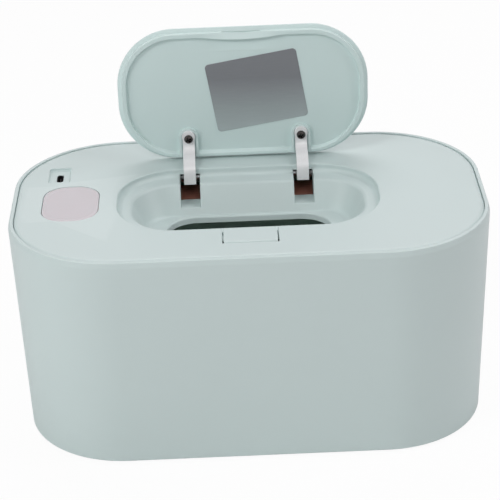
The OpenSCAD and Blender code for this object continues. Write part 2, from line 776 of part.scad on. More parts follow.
module latch_spring() {
    turns = 5;
    z1 = below(2) - spring_wire;
    z0 = shelf_z + spring_wire;
    color(steel) translate([0, spring_y, 0]) wire(
        [for (i = [0:60]) let (a = 360 * turns * i / 60)
            [spring_r * cos(a), spring_r * sin(a), z0 + (z1 - z0) * i / 60]], spring_wire / 2, 6);
}

outer_shell();
inner_tub();
base_plate();
feet();
base_screws();
top_cover();
cover_underplate();
cover_screws();
cover_gasket();
heat_spreader();
heater_film();
heater_leads();
temperature_sensor();
control_board();
board_parts();
board_screws();
display_module();
key_switch();
socket_shell();
socket_tongue();
hinge_pins();
torsion_springs();
latch_pin();
latch_spring();
lid();
label_plate();
hinge_arm_left();
hinge_arm_right();
lid_screws();
latch_button();
power_key();
switch_plunger();
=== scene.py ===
# Baby wipe warmer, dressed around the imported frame: a mint housing, a lift-off cover with a heated
# tray, an open flip lid on two white arms, a latch, a milky pink power key and a charging socket.
# All in metres, in the frame's own axes: +Z up, front towards -Y, origin on the floor.
import math

import bmesh
import bpy
from mathutils import Matrix, Quaternion, Vector


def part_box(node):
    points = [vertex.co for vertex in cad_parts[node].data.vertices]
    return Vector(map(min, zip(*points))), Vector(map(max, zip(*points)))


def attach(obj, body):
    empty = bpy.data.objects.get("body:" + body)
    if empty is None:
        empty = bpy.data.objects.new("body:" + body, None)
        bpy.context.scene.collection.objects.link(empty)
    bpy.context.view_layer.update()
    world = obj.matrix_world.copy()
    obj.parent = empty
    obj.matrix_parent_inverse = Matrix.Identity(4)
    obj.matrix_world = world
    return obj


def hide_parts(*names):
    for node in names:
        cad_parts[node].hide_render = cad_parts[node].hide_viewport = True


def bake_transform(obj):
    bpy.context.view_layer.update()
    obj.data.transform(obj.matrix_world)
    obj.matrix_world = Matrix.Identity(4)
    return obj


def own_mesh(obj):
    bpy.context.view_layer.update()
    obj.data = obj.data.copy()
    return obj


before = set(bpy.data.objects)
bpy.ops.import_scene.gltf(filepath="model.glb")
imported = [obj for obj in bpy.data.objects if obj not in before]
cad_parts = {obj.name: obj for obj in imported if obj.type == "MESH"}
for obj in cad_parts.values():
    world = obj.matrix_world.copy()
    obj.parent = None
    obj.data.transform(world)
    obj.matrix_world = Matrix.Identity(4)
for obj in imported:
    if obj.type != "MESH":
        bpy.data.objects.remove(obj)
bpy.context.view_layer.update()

# ---- Housing ----
# One injection-moulded wall, a rounded rectangle in plan that draws in towards its foot so that it
# leaves the mould. The rim is rounded over, and upright ribs inside carry the tub on their heads.
mm = 0.001
shell_low, shell_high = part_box("outer_shell")
rim_z = shell_high.z
corner = 55 * mm
plan = (shell_high.x - corner, shell_high.y - corner)
rim_lean = 0.85 * mm
rim_lean_high = 2.8 * mm
rim_round = 0.55 * mm
rim_inner_round = 0.3 * mm
rim_step = 0.2 * mm
foot_round = 0.9 * mm
side_taper = 3.67 * mm
shell_wall = 2.4 * mm
rib_thick = 1.8 * mm
rib_depth = 3.6 * mm
rib_low_z = 4.2 * mm
rib_top_z = 101 * mm
shell_grain = 2600
mint = (0.575, 0.672, 0.664, 1)
# Edge colour of the mint parts: partly edge wear, partly a painted edge highlight
mint_edge_wear_and_highlight = (0.66, 0.75, 0.745, 1)


def wall_out(z):
    """Radius of the housing's outside about its corner centres, at a height."""
    return corner - side_taper * (rim_z - rim_lean_high - z) / (rim_z - shell_low.z)


def wall_in(z):
    """Radius of the housing's inside about its corner centres, at a height."""
    return wall_out(z) - shell_wall


def filleted(corners, closed=True, turn_steps=40):
    """Outline through (x, y, radius) corners, each rounded to its radius where it has one."""
    outline = []
    for i, (x, y, *radius) in enumerate(corners):
        at_end = not closed and i in (0, len(corners) - 1)
        if not radius or radius[0] <= 0 or at_end:
            outline.append(Vector((x, y)))
            continue
        here = Vector((x, y))
        back = (Vector(corners[i - 1][:2]) - here).normalized()
        ahead = (Vector(corners[(i + 1) % len(corners)][:2]) - here).normalized()
        half = back.angle(ahead) / 2
        centre = here + (back + ahead).normalized() * radius[0] / math.sin(half)
        start = here + back * radius[0] / math.tan(half) - centre
        turn = (math.pi - 2 * half) * (-1 if back.cross(ahead) > 0 else 1)
        steps = max(3, math.ceil(abs(turn) * turn_steps / math.tau))
        for k in range(steps + 1):
            outline.append(centre + Matrix.Rotation(turn * k / steps, 2) @ start)
    clean = [p for i, p in enumerate(outline) if (p - outline[i - 1]).length > 1e-7]
    return clean if len(clean) > 2 else outline


def bridged(mesh, rings, closed=False):
    """Faces between each ring of points and the next, with the two end rings filled where open."""
    count = len(rings[0])
    for i in range(len(rings) if closed else len(rings) - 1):
        one, two = rings[i], rings[(i + 1) % len(rings)]
        for k in range(count):
            mesh.faces.new((one[k], one[(k + 1) % count], two[(k + 1) % count], two[k]))
    if not closed:
        mesh.faces.new(rings[0])
        mesh.faces.new(rings[-1])
    return mesh


def swept(centres, section, closed=True, at=(0, 0), corner_steps=24, side_steps=1):
    """Mesh of a section of (outward, height) points carried round the arcs about four centres.

    The section may be a function of the outward direction's x, where it changes on its way round.
    """
    mesh = bmesh.new()
    stations = []
    for k in range(4):
        sx = (1, -1, -1, 1)[k] * centres[0]
        sy = (1, 1, -1, -1)[k] * centres[1]
        for i in range(corner_steps + 1):
            angle = (k + i / corner_steps) * math.pi / 2
            stations.append((sx, sy, math.cos(angle), math.sin(angle)))
        nx = (-1, -1, 1, 1)[k] * centres[0]
        ny = (1, -1, -1, 1)[k] * centres[1]
        for i in range(1, side_steps):
            part = i / side_steps
            stations.append((sx + (nx - sx) * part, sy + (ny - sy) * part,
                             math.cos(angle), math.sin(angle)))
    sections = [section(c) if callable(section) else section for x, y, c, s in stations]
    rings = []
    for points in zip(*sections):
        rings.append([mesh.verts.new((at[0] + x + r * c, at[1] + y + r * s, z))
                      for (x, y, c, s), (r, z) in zip(stations, points)])
    return bridged(mesh, rings, closed)


def moulded(centres, corners, **how):
    """Swept mesh of an open section through (outward, height, radius) corners."""
    return swept(centres, filleted(corners, closed=False), closed=False, **how)


def plate_between(outline, axis, low, high, at=(0, 0, 0)):
    """Mesh of an outline of two-number points, drawn out along an axis from low to high."""
    mesh = bmesh.new()
    ends = []
    for level in (low, high):
        points = {"X": [(level, a, b) for a, b in outline], "Z": [(a, b, level) for a, b in outline],
                  "Y": [(a, level, b) for a, b in outline]}[axis]
        ends.append([mesh.verts.new(Vector(p) + Vector(at)) for p in points])
        mesh.faces.new(ends[-1])
    for k in range(len(outline)):
        j = (k + 1) % len(outline)
        mesh.faces.new((ends[0][k], ends[0][j], ends[1][j], ends[1][k]))
    return mesh


def as_object(name, mesh):
    """Object of a bmesh, with clean normals, in the scene."""
    bmesh.ops.remove_doubles(mesh, verts=mesh.verts, dist=1e-7)
    bmesh.ops.recalc_face_normals(mesh, faces=mesh.faces)
    data = bpy.data.meshes.new(name)
    mesh.to_mesh(data)
    mesh.free()
    made = bpy.data.objects.new(name, data)
    bpy.context.scene.collection.objects.link(made)
    return made


def shaped(base, how, *tools):
    """Joins ("UNION") or cuts ("DIFFERENCE") an object with one tool after another."""
    for tool in tools:
        if isinstance(tool, bmesh.types.BMesh):
            tool = as_object("tool", tool)
        change = base.modifiers.new(how, "BOOLEAN")
        change.operation = how
        change.object = tool
        change.solver = "EXACT"
        bpy.context.view_layer.update()
        graph = bpy.context.evaluated_depsgraph_get()
        made = bpy.data.meshes.new_from_object(base.evaluated_get(graph))
        base.modifiers.clear()
        base.data = made
        bpy.data.objects.remove(tool)
    return base


def finished(obj, finish, body, nodes, sharp=32):
    """Gives a piece its finish, soft shading between its sharp edges, and its place in the frame."""
    obj.data.materials.clear()
    obj.data.materials.append(finish)
    obj.data.polygons.foreach_set("use_smooth", [True] * len(obj.data.polygons))
    obj.data.set_sharp_from_angle(angle=math.radians(sharp))
    level = obj.modifiers.new("level_normals", "WEIGHTED_NORMAL")
    level.keep_sharp = True
    if body:
        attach(obj, body)
    if nodes:
        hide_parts(*nodes)
    return obj


def node(tree, kind, inputs=None, **settings):
    """Adds a shader node with its settings, and with its inputs set or linked."""
    made = tree.nodes.new(kind)
    for name, value in settings.items():
        setattr(made, name, value)
    dressed(tree, made, inputs or {})
    return made


def dressed(tree, made, inputs):
    """Sets a node's inputs to their values, or links them to other nodes' outputs."""
    for name, value in inputs.items():
        socket = made.inputs[name.replace("_", " ") if isinstance(name, str) else name]
        if isinstance(value, bpy.types.NodeSocket):
            tree.links.new(value, socket)
        else:
            socket.default_value = value


def maths(tree, operation, *values):
    """Result of a Math node."""
    return node(tree, "ShaderNodeMath", dict(enumerate(values)), operation=operation).outputs[0]


def mixed(tree, factor, one, two, blend="MIX"):
    """Colour that comes of two, mixed by a factor."""
    made = node(tree, "ShaderNodeMix", {"Factor": factor, "A": one, "B": two}, data_type="RGBA",
                blend_type=blend)
    return made.outputs["Result"]


def noise(tree, place, scale, detail, **more):
    """Value of a noise over a place."""
    inputs = {"Vector": place, "Scale": scale, "Detail": detail, **more}
    return node(tree, "ShaderNodeTexNoise", inputs).outputs["Fac"]


def ranged(tree, value, low, high, to_low=0.0, to_high=1.0):
    """Value carried over from one range to another."""
    inputs = {"Value": value, "From Min": low, "From Max": high, "To Min": to_low, "To Max": to_high}
    return node(tree, "ShaderNodeMapRange", inputs).outputs[0]


def bumped(tree, height, strength, distance):
    """Normal of a surface with a fine relief."""
    inputs = {"Height": height, "Strength": strength, "Distance": distance}
    return node(tree, "ShaderNodeBump", inputs).outputs["Normal"]


def new_finish(name):
    """An empty finish, with its node tree and its shader."""
    finish = bpy.data.materials.new(name)
    finish.use_nodes = True
    return finish, finish.node_tree, finish.node_tree.nodes["Principled BSDF"]


def shader_group(name, inputs, outputs):
    """An empty node group with its named inputs and outputs, and their two end nodes."""
    tree = bpy.data.node_groups.new(name, "ShaderNodeTree")
    kinds = {"colour": "NodeSocketColor", "value": "NodeSocketFloat"}
    for label, (kind, default) in inputs.items():
        made = tree.interface.new_socket(label, in_out="INPUT", socket_type=kinds[kind])
        made.default_value = default
    for label, kind in outputs.items():
        tree.interface.new_socket(label, in_out="OUTPUT", socket_type=kinds[kind])
    return tree, tree.nodes.new("NodeGroupInput").outputs, tree.nodes.new("NodeGroupOutput").inputs


def moulded_grain_group():
    """Moulded plastic: fine spark texture, slow flow marks, faint patches, specks, paler edges of wear
    and painted highlight.
    """
    tree, given, out = shader_group(
        "moulded_grain",
        {"Colour": ("colour", (0.5, 0.5, 0.5, 1)), "Edge Colour": ("colour", (0.8, 0.8, 0.8, 1)),
         "Roughness": ("value", 0.4), "Grain Scale": ("value", 2000.0), "Patches": ("value", 0.03),
         "Specks": ("value", 0.2), "Edge": ("value", 0.5)},
        {"Colour": "colour", "Roughness": "value", "Height": "value"})
    place = node(tree, "ShaderNodeTexCoord").outputs["Object"]
    grain = noise(tree, place, given["Grain Scale"], 3.0, Roughness=0.6)
    flow = noise(tree, place, 55.0, 2.0)
    swing = maths(tree, "SUBTRACT", noise(tree, place, 13.0, 3.0), 0.5)
    swing = maths(tree, "MULTIPLY_ADD", swing, given["Patches"], 1.0)
    tint = mixed(tree, 1.0, given["Colour"], swing, "MULTIPLY")
    specks = node(tree, "ShaderNodeTexVoronoi", {"Vector": place, "Scale": 75.0, "Randomness": 1.0})
    near = ranged(tree, specks.outputs["Distance"], 0.012, 0.04, 1.0, 0.0)
    rare = maths(tree, "GREATER_THAN", specks.outputs["Color"], 0.9)
    speck = maths(tree, "MULTIPLY", maths(tree, "MULTIPLY", near, rare), given["Specks"])
    dusty = mixed(tree, speck, tint, (0.2, 0.22, 0.21, 1))
    # Paler colour on sharp edges: partly edge wear, partly a painted edge highlight
    ridge = node(tree, "ShaderNodeNewGeometry").outputs["Pointiness"]
    edge = maths(tree, "MULTIPLY", ranged(tree, ridge, 0.52, 0.6), given["Edge"])
    rough = maths(tree, "MULTIPLY_ADD", grain, 0.12, given["Roughness"])
    rough = maths(tree, "MULTIPLY_ADD", flow, 0.08, rough)
    tree.links.new(mixed(tree, edge, dusty, given["Edge Colour"]), out["Colour"])
    tree.links.new(maths(tree, "SUBTRACT", rough, 0.1), out["Roughness"])
    tree.links.new(maths(tree, "MULTIPLY_ADD", flow, 1.5, grain), out["Height"])
    return tree


moulded_grain = moulded_grain_group()


def moulded_plastic(name, colour, edge_colour, roughness, scale, depth=0.25, patches=0.04,
                    specks=0.25, edge=0.35, **constants):
    """A moulded plastic finish of its own colour, gloss and grain."""
    finish, tree, shader = new_finish(name)
    surface = node(tree, "ShaderNodeGroup", node_tree=moulded_grain)
    dressed(tree, surface, {"Colour": colour, "Edge Colour": edge_colour, "Roughness": roughness,
                            "Grain Scale": scale, "Patches": patches, "Specks": specks, "Edge": edge})
    dressed(tree, shader, {
        "Base Color": surface.outputs["Colour"], "Roughness": surface.outputs["Roughness"],
        "Normal": bumped(tree, surface.outputs["Height"], depth, 0.00006), **constants})
    return finish


mint_plastic = moulded_plastic("mint_plastic", mint, mint_edge_wear_and_highlight, 0.42, shell_grain)

shell_section = filleted([
    (wall_in(shell_low.z), shell_low.z, 0.3 * mm), (wall_out(shell_low.z), shell_low.z, foot_round),
    (corner, rim_z - rim_lean_high, 5 * mm), (corner - rim_lean, rim_z, rim_round),
    (corner - shell_wall - rim_step, rim_z, rim_inner_round)])
shell = as_object("housing_shell", swept(plan, shell_section, corner_steps=40))
rib_outline = [(wall_in(z) + reach, z) for z, reach in (
    (rib_low_z, -rib_depth), (rib_low_z, shell_wall / 2), (rib_top_z, shell_wall / 2),
    (rib_top_z, -rib_depth))]
rib_places = [(x * mm, side * plan[1], 90 * side) for x in (-50, 0, 50) for side in (-1, 1)]
rib_places += [(side * plan[0], 0, 90 - 90 * side) for side in (-1, 1)]
rib_places += [(sx * plan[0], sy * plan[1], math.degrees(math.atan2(sy, sx)))
               for sx in (-1, 1) for sy in (-1, 1)]
for x, y, turn in rib_places:
    rib = plate_between(rib_outline, "Y", -rib_thick / 2, rib_thick / 2)
    rib.transform(Matrix.Translation((x, y, 0)) @ Matrix.Rotation(math.radians(turn), 4, "Z"))
    shell = shaped(shell, "UNION", rib)
finished(shell, mint_plastic, "housing", ["outer_shell"])

# ---- Inner tub, base plate and feet ----
# The tub that holds the wipes hangs by its flange on the shell's ribs. The base plate is screwed up
# into bosses under the tub, and four soft pads are let into it.
tub_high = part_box("inner_tub")[1]
tub_floor_z = 9 * mm
tub_flange = 2 * mm
tub_wall = 1.8 * mm
tub_r_top = 48 * mm
tub_r_low = 45 * mm
tub_foot_round = 8 * mm
tub_lip_r = tub_high.x - plan[0]
tub_boss_r = 4 * mm
plate_top_z = 4.2 * mm
base_bore = 1.25 * mm
base_screw_places = [(x * 40 * mm, y * 50 * mm) for x in (-1, 1) for y in (-1, 1)]
inner_mint = (0.58, 0.70, 0.64, 1)
mint_inner = moulded_plastic("mint_inner", inner_mint, mint_edge_wear_and_highlight, 0.46, 1900, depth=0.3, patches=0.06)
foot_grey = moulded_plastic("foot_rubber", (0.25, 0.27, 0.26, 1), (0.32, 0.34, 0.33, 1), 0.75, 3200,
                            depth=0.5, patches=0.12, specks=0.1)


def screw_boss(place, bore, outer, low_z, high_z):
    """Round boss with a bore for a screw, its lower edge rounded over."""
    section = filleted([(bore, low_z), (outer, low_z, 0.3 * mm), (outer, high_z), (bore, high_z)])
    return swept((0, 0), section, at=place, corner_steps=8)


def together(meshes):
    """One mesh of several."""
    whole = bmesh.new()
    for part in meshes:
        spare = bpy.data.meshes.new("part")
        part.to_mesh(spare)
        whole.from_mesh(spare)
        bpy.data.meshes.remove(spare)
        part.free()
    return whole


tub = as_object("wipe_tub", moulded(plan, [
    (10 * mm, tub_floor_z + tub_wall),
    (tub_r_low - tub_wall, tub_floor_z + tub_wall, tub_foot_round - tub_wall),
    (tub_r_top - tub_wall, tub_high.z, 0.6 * mm), (tub_lip_r, tub_high.z, 0.5 * mm),
    (tub_lip_r, tub_high.z - tub_flange, 0.5 * mm), (tub_r_top, tub_high.z - tub_flange, 0.8 * mm),
    (tub_r_low, tub_floor_z, tub_foot_round), (10 * mm, tub_floor_z)], corner_steps=32))
for place in base_screw_places:
    tub = shaped(tub, "UNION", screw_boss(place, base_bore, tub_boss_r, plate_top_z,
                                          tub_floor_z + tub_wall / 2))
finished(tub, mint_inner, "housing", ["inner_tub"])


def painted(finish, *names):
    """Gives a finish to CAD nodes that stay as they are."""
    for name in names:
        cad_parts[name].data.materials.clear()
        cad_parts[name].data.materials.append(finish)


painted(mint_inner, "base_plate", "cover_underplate")

foot_low, foot_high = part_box("feet")
foot_r = 6.9 * mm
foot_x = foot_high.x - foot_r
foot_y = foot_high.y - foot_r
foot_corners = [(0.3 * mm, 0.35 * mm), (2.2 * mm, 0.35 * mm, 0.3 * mm), (2.6 * mm, 0, 0.4 * mm),
                (5.9 * mm, 0, 0.8 * mm), (foot_r, foot_high.z - mm, 0.4 * mm),
                (foot_r, foot_high.z, 0.2 * mm), (0.3 * mm, foot_high.z)]
feet = together([moulded((0, 0), foot_corners, at=(x, y), corner_steps=10)
                 for x in (-foot_x, foot_x) for y in (-foot_y, foot_y)])
finished(as_object("foot_pads", feet), foot_grey, "housing", ["feet"])

# ---- Cover ----
# One moulding that drops into the housing's rim: a flat top with a sunken seat for the lid, a
# sloped basin for the fingers and a long slot in its floor. Its skirt stands on the tub's flange.
top_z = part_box("top_cover")[1].z
skirt_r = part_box("top_cover")[1].x - plan[0]
skirt_low_r = skirt_r - 0.35 * mm
skirt_in = skirt_low_r - 2 * mm
skirt_low_z = 103.3 * mm
plate_thick = 2.2 * mm
cover_edge_round = 0.45 * mm
margin_wide = 1.6 * mm
margin_drop = 0.9 * mm
seat_y = -3.15 * mm
seat_r = 31.2 * mm
seat_plan = (34.75 * mm, 4.9 * mm)
seat_deep = 4.2 * mm
seat_edge = 0.8 * mm
seat_foot = 2.5 * mm
seat_wall = 2.2 * mm
basin_plan = (37 * mm, 4.35 * mm)
basin_r_top = 22 * mm
basin_r_low = 14.4 * mm
basin_deep = 19 * mm
basin_edge = 2.4 * mm
basin_foot = 1.2 * mm
basin_end_foot = 5 * mm
basin_low_z = 91 * mm
slot_plan = (26.5 * mm, 2.0 * mm)
slot_r = 15.5 * mm
slot_edge = 1.1 * mm
slot_lean = 0.8 * mm
slot_floor = 3.3 * mm
above = 1 * mm
fine_steps = 40


def below(depth):
    """Height of a place that lies a depth (in millimetres) under the cover's top."""
    return top_z - depth * mm


cover = as_object("cover_shell", moulded(plan, [
    (skirt_r - 20 * mm, top_z), (skirt_r - margin_wide, top_z, 3 * mm),
    (skirt_r - rim_step, top_z - margin_drop, cover_edge_round), (skirt_low_r, skirt_low_z, 0.3 * mm),
    (skirt_in, skirt_low_z, 0.3 * mm), (skirt_in, top_z - plate_thick, 0.8 * mm),
    (skirt_in - 10 * mm, top_z - plate_thick)], corner_steps=fine_steps))

# Walls of the seat and of the basin, under the top
seat_block = [(2 * mm, top_z - plate_thick / 2), (seat_r + seat_wall, top_z - plate_thick / 2),
              (seat_r + seat_wall, top_z - seat_deep - plate_thick),
              (2 * mm, top_z - seat_deep - plate_thick)]
basin_block = [(2 * mm, top_z - seat_deep - mm), (basin_r_top + seat_wall, top_z - seat_deep - mm),
               (basin_r_low + seat_wall, top_z - basin_deep), (basin_r_low + seat_wall, basin_low_z),
               (2 * mm, basin_low_z)]


def round_seat(centres, section, steps=fine_steps):
    """Swept mesh of an open section about the seat's middle."""
    return swept(centres, section, closed=False, at=(0, seat_y), corner_steps=steps)


cover = shaped(cover, "UNION", round_seat(seat_plan, seat_block), round_seat(basin_plan, basin_block))

# Ears that carry the two hinge pins, each pair with the sill that closes its slot's foot
arm_x = 29.5 * mm
arm_places = (-arm_x, arm_x)
hinge_place = (40.3 * mm, below(7.6))
pin_r = 1.5 * mm
ear_in = 5.15 * mm
ear_thick = 1.8 * mm
sill_depth = 15.2
sill_thick = 1.6
sill_front = 17.7 * mm
sill_back = 28 * mm
arm_slot_top = 2.7
ear_outline = [(24.5, 5), (33.5, 5), (33.5, 1.5), (45.5, 1.5), (45.5, 8.5), (44, 11.5), (33, 14),
               (28, 16.8), (18, 16.8)]
latch_width = 26.3 * mm
latch_length = 15.3 * mm
latch_gap = 0.6 * mm
seat_front = seat_y - seat_plan[1] - seat_r
seat_back = seat_y + seat_plan[1] + seat_r
latch_back_y = seat_front - 0.1 * mm
latch_pin = (-43 * mm, below(12.5))
latch_ear_x = 10.6 * mm
latch_ear_outline = [(-29, 5), (-41.2, 5), (-41.2, 7), (-45.5, 10), (-55, 10), (-55, 12.5),
                     (-45.5, 14.5), (-41, 15.5), (-26.5, 15.5)]
shelf_z = below(11.5)
shelf_thick = 1.5 * mm


def box_between(low, high):
    """Box mesh from one corner to the other."""
    outline = [(low[0], low[1]), (high[0], low[1]), (high[0], high[1]), (low[0], high[1])]
    return plate_between(outline, "Z", low[2], high[2])


def side_view(outline, x, thick):
    """Plate across X from an outline of (y, depth under the top) corners in millimetres."""
    return plate_between([(y * mm, below(d)) for y, d in outline], "X", x - thick / 2, x + thick / 2)


for x in arm_places:
    for side in (-1, 1):
        ear = side_view(ear_outline, x + side * (ear_in + ear_thick / 2), ear_thick)
        cover = shaped(cover, "UNION", ear)
    sill = box_between((x - ear_in - ear_thick / 2, sill_front, below(sill_depth + sill_thick)),
                       (x + ear_in + ear_thick / 2, sill_back, below(sill_depth)))
    cover = shaped(cover, "UNION", sill)
for side in (-1, 1):
    ear = side_view(latch_ear_outline, side * (latch_ear_x + ear_thick / 2), ear_thick)
    cover = shaped(cover, "UNION", ear)
cover = shaped(cover, "UNION", box_between((-latch_ear_x - mm, -55 * mm, shelf_z - shelf_thick),
                                           (latch_ear_x + mm, -48 * mm, shelf_z)))

# Bosses for the screws that hold the tray and the board, and the pad round the socket
cover_screw_places = [(x * 86 * mm, y * 46 * mm) for x in (-1, 1) for y in (-1, 1)]
cover_screw_places += [(x * 36 * mm, -56 * mm) for x in (-1, 1)]
board_screw_places = [(-77 * mm, 36 * mm), (-77 * mm, -30 * mm), (-97.5 * mm, -30 * mm)]
board_top_z = 105.1 * mm
film_boss_z = 95.5 * mm
boss_top = 1.1
socket_place = (-97 * mm, 31.5 * mm)
socket_pad = (8 * mm, 11.5 * mm)
well_deep = 1.8 * mm
for places, low_z, bore, outer in (
        (cover_screw_places, film_boss_z, 1.25 * mm, 3.2 * mm),
        (board_screw_places, board_top_z, 1.0 * mm, 2.6 * mm)):
    for place in places:
        cover = shaped(cover, "UNION", screw_boss(place, bore, outer, low_z, below(boss_top)))
cover = shaped(cover, "UNION", box_between(
    (socket_place[0] - socket_pad[0], socket_place[1] - socket_pad[1], below(4.2)),
    (socket_place[0] + socket_pad[0], socket_place[1] + socket_pad[1], below(1.2))))

# The hollows: seat, basin and dispensing slot
seat_space = filleted([
    (5 * mm, top_z - seat_deep), (seat_r, top_z - seat_deep, seat_foot), (seat_r, top_z, seat_edge),
    (seat_r + seat_edge, top_z), (seat_r + seat_edge, top_z + above)], closed=False)


def basin_space(towards_x):
    """Section of the basin's hollow: its foot is rounded more at the two ends than along the sides."""
    foot = basin_foot + (basin_end_foot - basin_foot) * towards_x ** 2
    return filleted([
        (5 * mm, top_z - basin_deep), (basin_r_low, top_z - basin_deep, foot),
        (basin_r_top, top_z - seat_deep, basin_edge), (basin_r_top + 2 * mm, top_z - seat_deep),
        (basin_r_top + 2 * mm, top_z - seat_deep + above)], closed=False)


slot_space = filleted([
    (5 * mm, basin_low_z - above), (slot_r - slot_lean, basin_low_z - above),
    (slot_r, top_z - basin_deep, slot_edge), (slot_r + slot_edge, top_z - basin_deep),
    (slot_r + slot_edge, top_z - basin_deep + above)], closed=False)
cup_space = [(2 * mm, basin_low_z - above), (basin_r_low, basin_low_z - above),
             (basin_r_low, top_z - basin_deep - slot_floor),
             (2 * mm, top_z - basin_deep - slot_floor)]
cover = shaped(cover, "DIFFERENCE", round_seat(seat_plan, seat_space),
               round_seat(basin_plan, basin_space), round_seat(basin_plan, cup_space, 24),
               round_seat(slot_plan, slot_space, 32))

# Room for the hinge arms
for x in arm_places:
    cover = shaped(
        cover, "DIFFERENCE",
        box_between((x - ear_in, 10 * mm, below(sill_depth)), (x + ear_in, 46 * mm, below(arm_slot_top))),
        box_between((x - ear_in, sill_back, below(19.2)), (x + ear_in, 48 * mm, below(sill_depth - 2))))


def softened(obj, width, wanted, segments=3, clamp=True):
    """Rounds over the sharp outer edges that are wanted, chosen by their middle point."""
    mesh = bmesh.new()
    mesh.from_mesh(obj.data)
    bmesh.ops.remove_doubles(mesh, verts=mesh.verts, dist=2e-6)
    chosen = [e for e in mesh.edges if len(e.link_faces) == 2 and e.is_convex
              and e.calc_face_angle(0) > math.radians(40)
              and wanted((e.verts[0].co + e.verts[1].co) / 2)]
    bmesh.ops.bevel(mesh, geom=chosen, offset=width, segments=segments, profile=0.5, affect="EDGES",
                    clamp_overlap=clamp)
    mesh.to_mesh(obj.data)
    mesh.free()
    return obj


def slot_rim(point):
    """Whether an edge borders a hinge slot where it opens into the seat and the basin."""
    depth = (top_z - point.z) / mm
    aside = abs(abs(point.x) - arm_x)
    if point.y > seat_back + 0.05 * mm or not arm_slot_top + 0.05 <= depth <= sill_depth + 0.05:
        return False
    on_side = abs(aside - ear_in) < 0.03 * mm
    on_sill = abs(depth - sill_depth) < 0.05 and aside < ear_in and point.y < 20 * mm
    basin_slope = (basin_r_top - basin_r_low) / (basin_deep - seat_deep)
    wall_y = (seat_y + basin_plan[1] + basin_r_top) / mm - (depth - seat_deep / mm) * basin_slope
    seen = depth < seat_deep / mm + 0.1 or point.y / mm < wall_y + 1.2
    return seen and (on_side or on_sill)


cover = softened(cover, 0.3 * mm, slot_rim, clamp=False)

# Openings in the flat top: the latch's notch, the key's window and the socket's well
key_place = (-89.65 * mm, -3.4 * mm)
key_size = (28.3 * mm, 40.4 * mm)
key_r = 12 * mm
key_gap = 0.2 * mm
key_opening_edge = 0.2 * mm
opening_depth = 6
well_size = (11 * mm, 18 * mm)
well_r = 1.4 * mm
well_edge = 0.4 * mm
plug_size = (3.46 * mm, 9.14 * mm)
plug_edge = 0.3 * mm
notch_front = latch_back_y - latch_length - 0.7 * mm
notch_back = seat_front + 4.5 * mm
notch_wide = latch_width + 2 * latch_gap
notch_under = [(-36.75, 4.2), (-41.65, 4.2), (-41.65, 6), (-56.65, 6), (-56.25, 2.2), (-55.2, 0.6),
               (-36.75, 0.6)]


def opening(size, radius, floor_z, edge, at, foot=0.0):
    """Cutter for a rounded opening in the flat top, with its upper edge rounded over."""
    half = (size[0] / 2 - radius, size[1] / 2 - radius)
    return moulded(half, [
        (radius * 0.3, floor_z), (radius, floor_z, foot), (radius, top_z, edge), (radius + edge, top_z),
        (radius + edge, top_z + above)], at=at, corner_steps=20)


plug_r = plug_size[0] / 2
plug_space = moulded((0, plug_size[1] / 2 - plug_r), [
    (plug_r * 0.3, below(8)), (plug_r, below(8)), (plug_r, top_z - well_deep, plug_edge),
    (plug_r + plug_edge, top_z - well_deep), (plug_r + plug_edge, top_z + above)], at=socket_place)
cover = shaped(
    cover, "DIFFERENCE",
    opening((key_size[0] + 2 * key_gap, key_size[1] + 2 * key_gap), key_r + key_gap,
            below(opening_depth), key_opening_edge, key_place),
    opening(well_size, well_r, top_z - well_deep, well_edge, socket_place, foot=1.0 * mm),
    plug_space,
    opening((notch_wide, notch_back - notch_front), 0.5 * mm, below(opening_depth), 0.35 * mm,
            (0, (notch_back + notch_front) / 2)),
    side_view(notch_under, 0, notch_wide))
finished(cover, mint_plastic, "cover", ["top_cover"])

# ---- Heater, sensor and board inside the cover ----
# Under the cover hang the aluminium spreader with its amber heater film, the sensor, and the board
# with its switch, display and charging socket. They show only through the openings.


def plain_finish(name, colour, roughness, scale, metallic=0.0, contrast=0.15, depth=0.2, **constants):
    """A sheet or coating with a fine grain: its colour and gloss vary a little over the surface."""
    finish, tree, shader = new_finish(name)
    place = node(tree, "ShaderNodeTexCoord").outputs["Object"]
    fine = noise(tree, place, scale, 4.0)
    broad = noise(tree, place, scale / 30, 2.0)
    low = tuple(c * (1 - contrast) for c in colour[:3]) + (1,)
    high = tuple(min(c * (1 + contrast), 1) for c in colour[:3]) + (1,)
    dressed(tree, shader, {
        "Base Color": mixed(tree, broad, low, high),
        "Roughness": ranged(tree, maths(tree, "MULTIPLY", fine, broad), 0.1, 0.45,
                            roughness * 0.85, roughness * 1.15),
        "Normal": bumped(tree, fine, depth, 0.00005), "Metallic": metallic, **constants})
    return finish


zinc_steel = plain_finish("zinc_steel", (0.55, 0.56, 0.58, 1), 0.32, 1500, metallic=1.0, contrast=0.12)
spring_steel = plain_finish("spring_steel", (0.6, 0.6, 0.62, 1), 0.24, 2400, metallic=1.0, contrast=0.1)
aluminium = plain_finish("aluminium_sheet", (0.62, 0.63, 0.65, 1), 0.38, 900, metallic=1.0, contrast=0.1)
black_plastic = plain_finish("black_plastic", (0.02, 0.02, 0.022, 1), 0.4, 2200, contrast=0.3)
switch_grey = plain_finish("switch_grey", (0.06, 0.062, 0.068, 1), 0.45, 2200, contrast=0.25)
solder_green = plain_finish("circuit_board", (0.03, 0.14, 0.07, 1), 0.3, 700, contrast=0.35,
                            Coat_Weight=0.4)
socket_black = plain_finish("socket_black", (0.012, 0.012, 0.013, 1), 0.6, 2200, contrast=0.3,
                            Specular_IOR_Level=0.15)
gasket_white = plain_finish("gasket_silicone", (0.72, 0.75, 0.74, 1), 0.55, 1200, contrast=0.06)
red_sleeve = plain_finish("red_sleeve", (0.45, 0.02, 0.02, 1), 0.42, 1600, contrast=0.15)


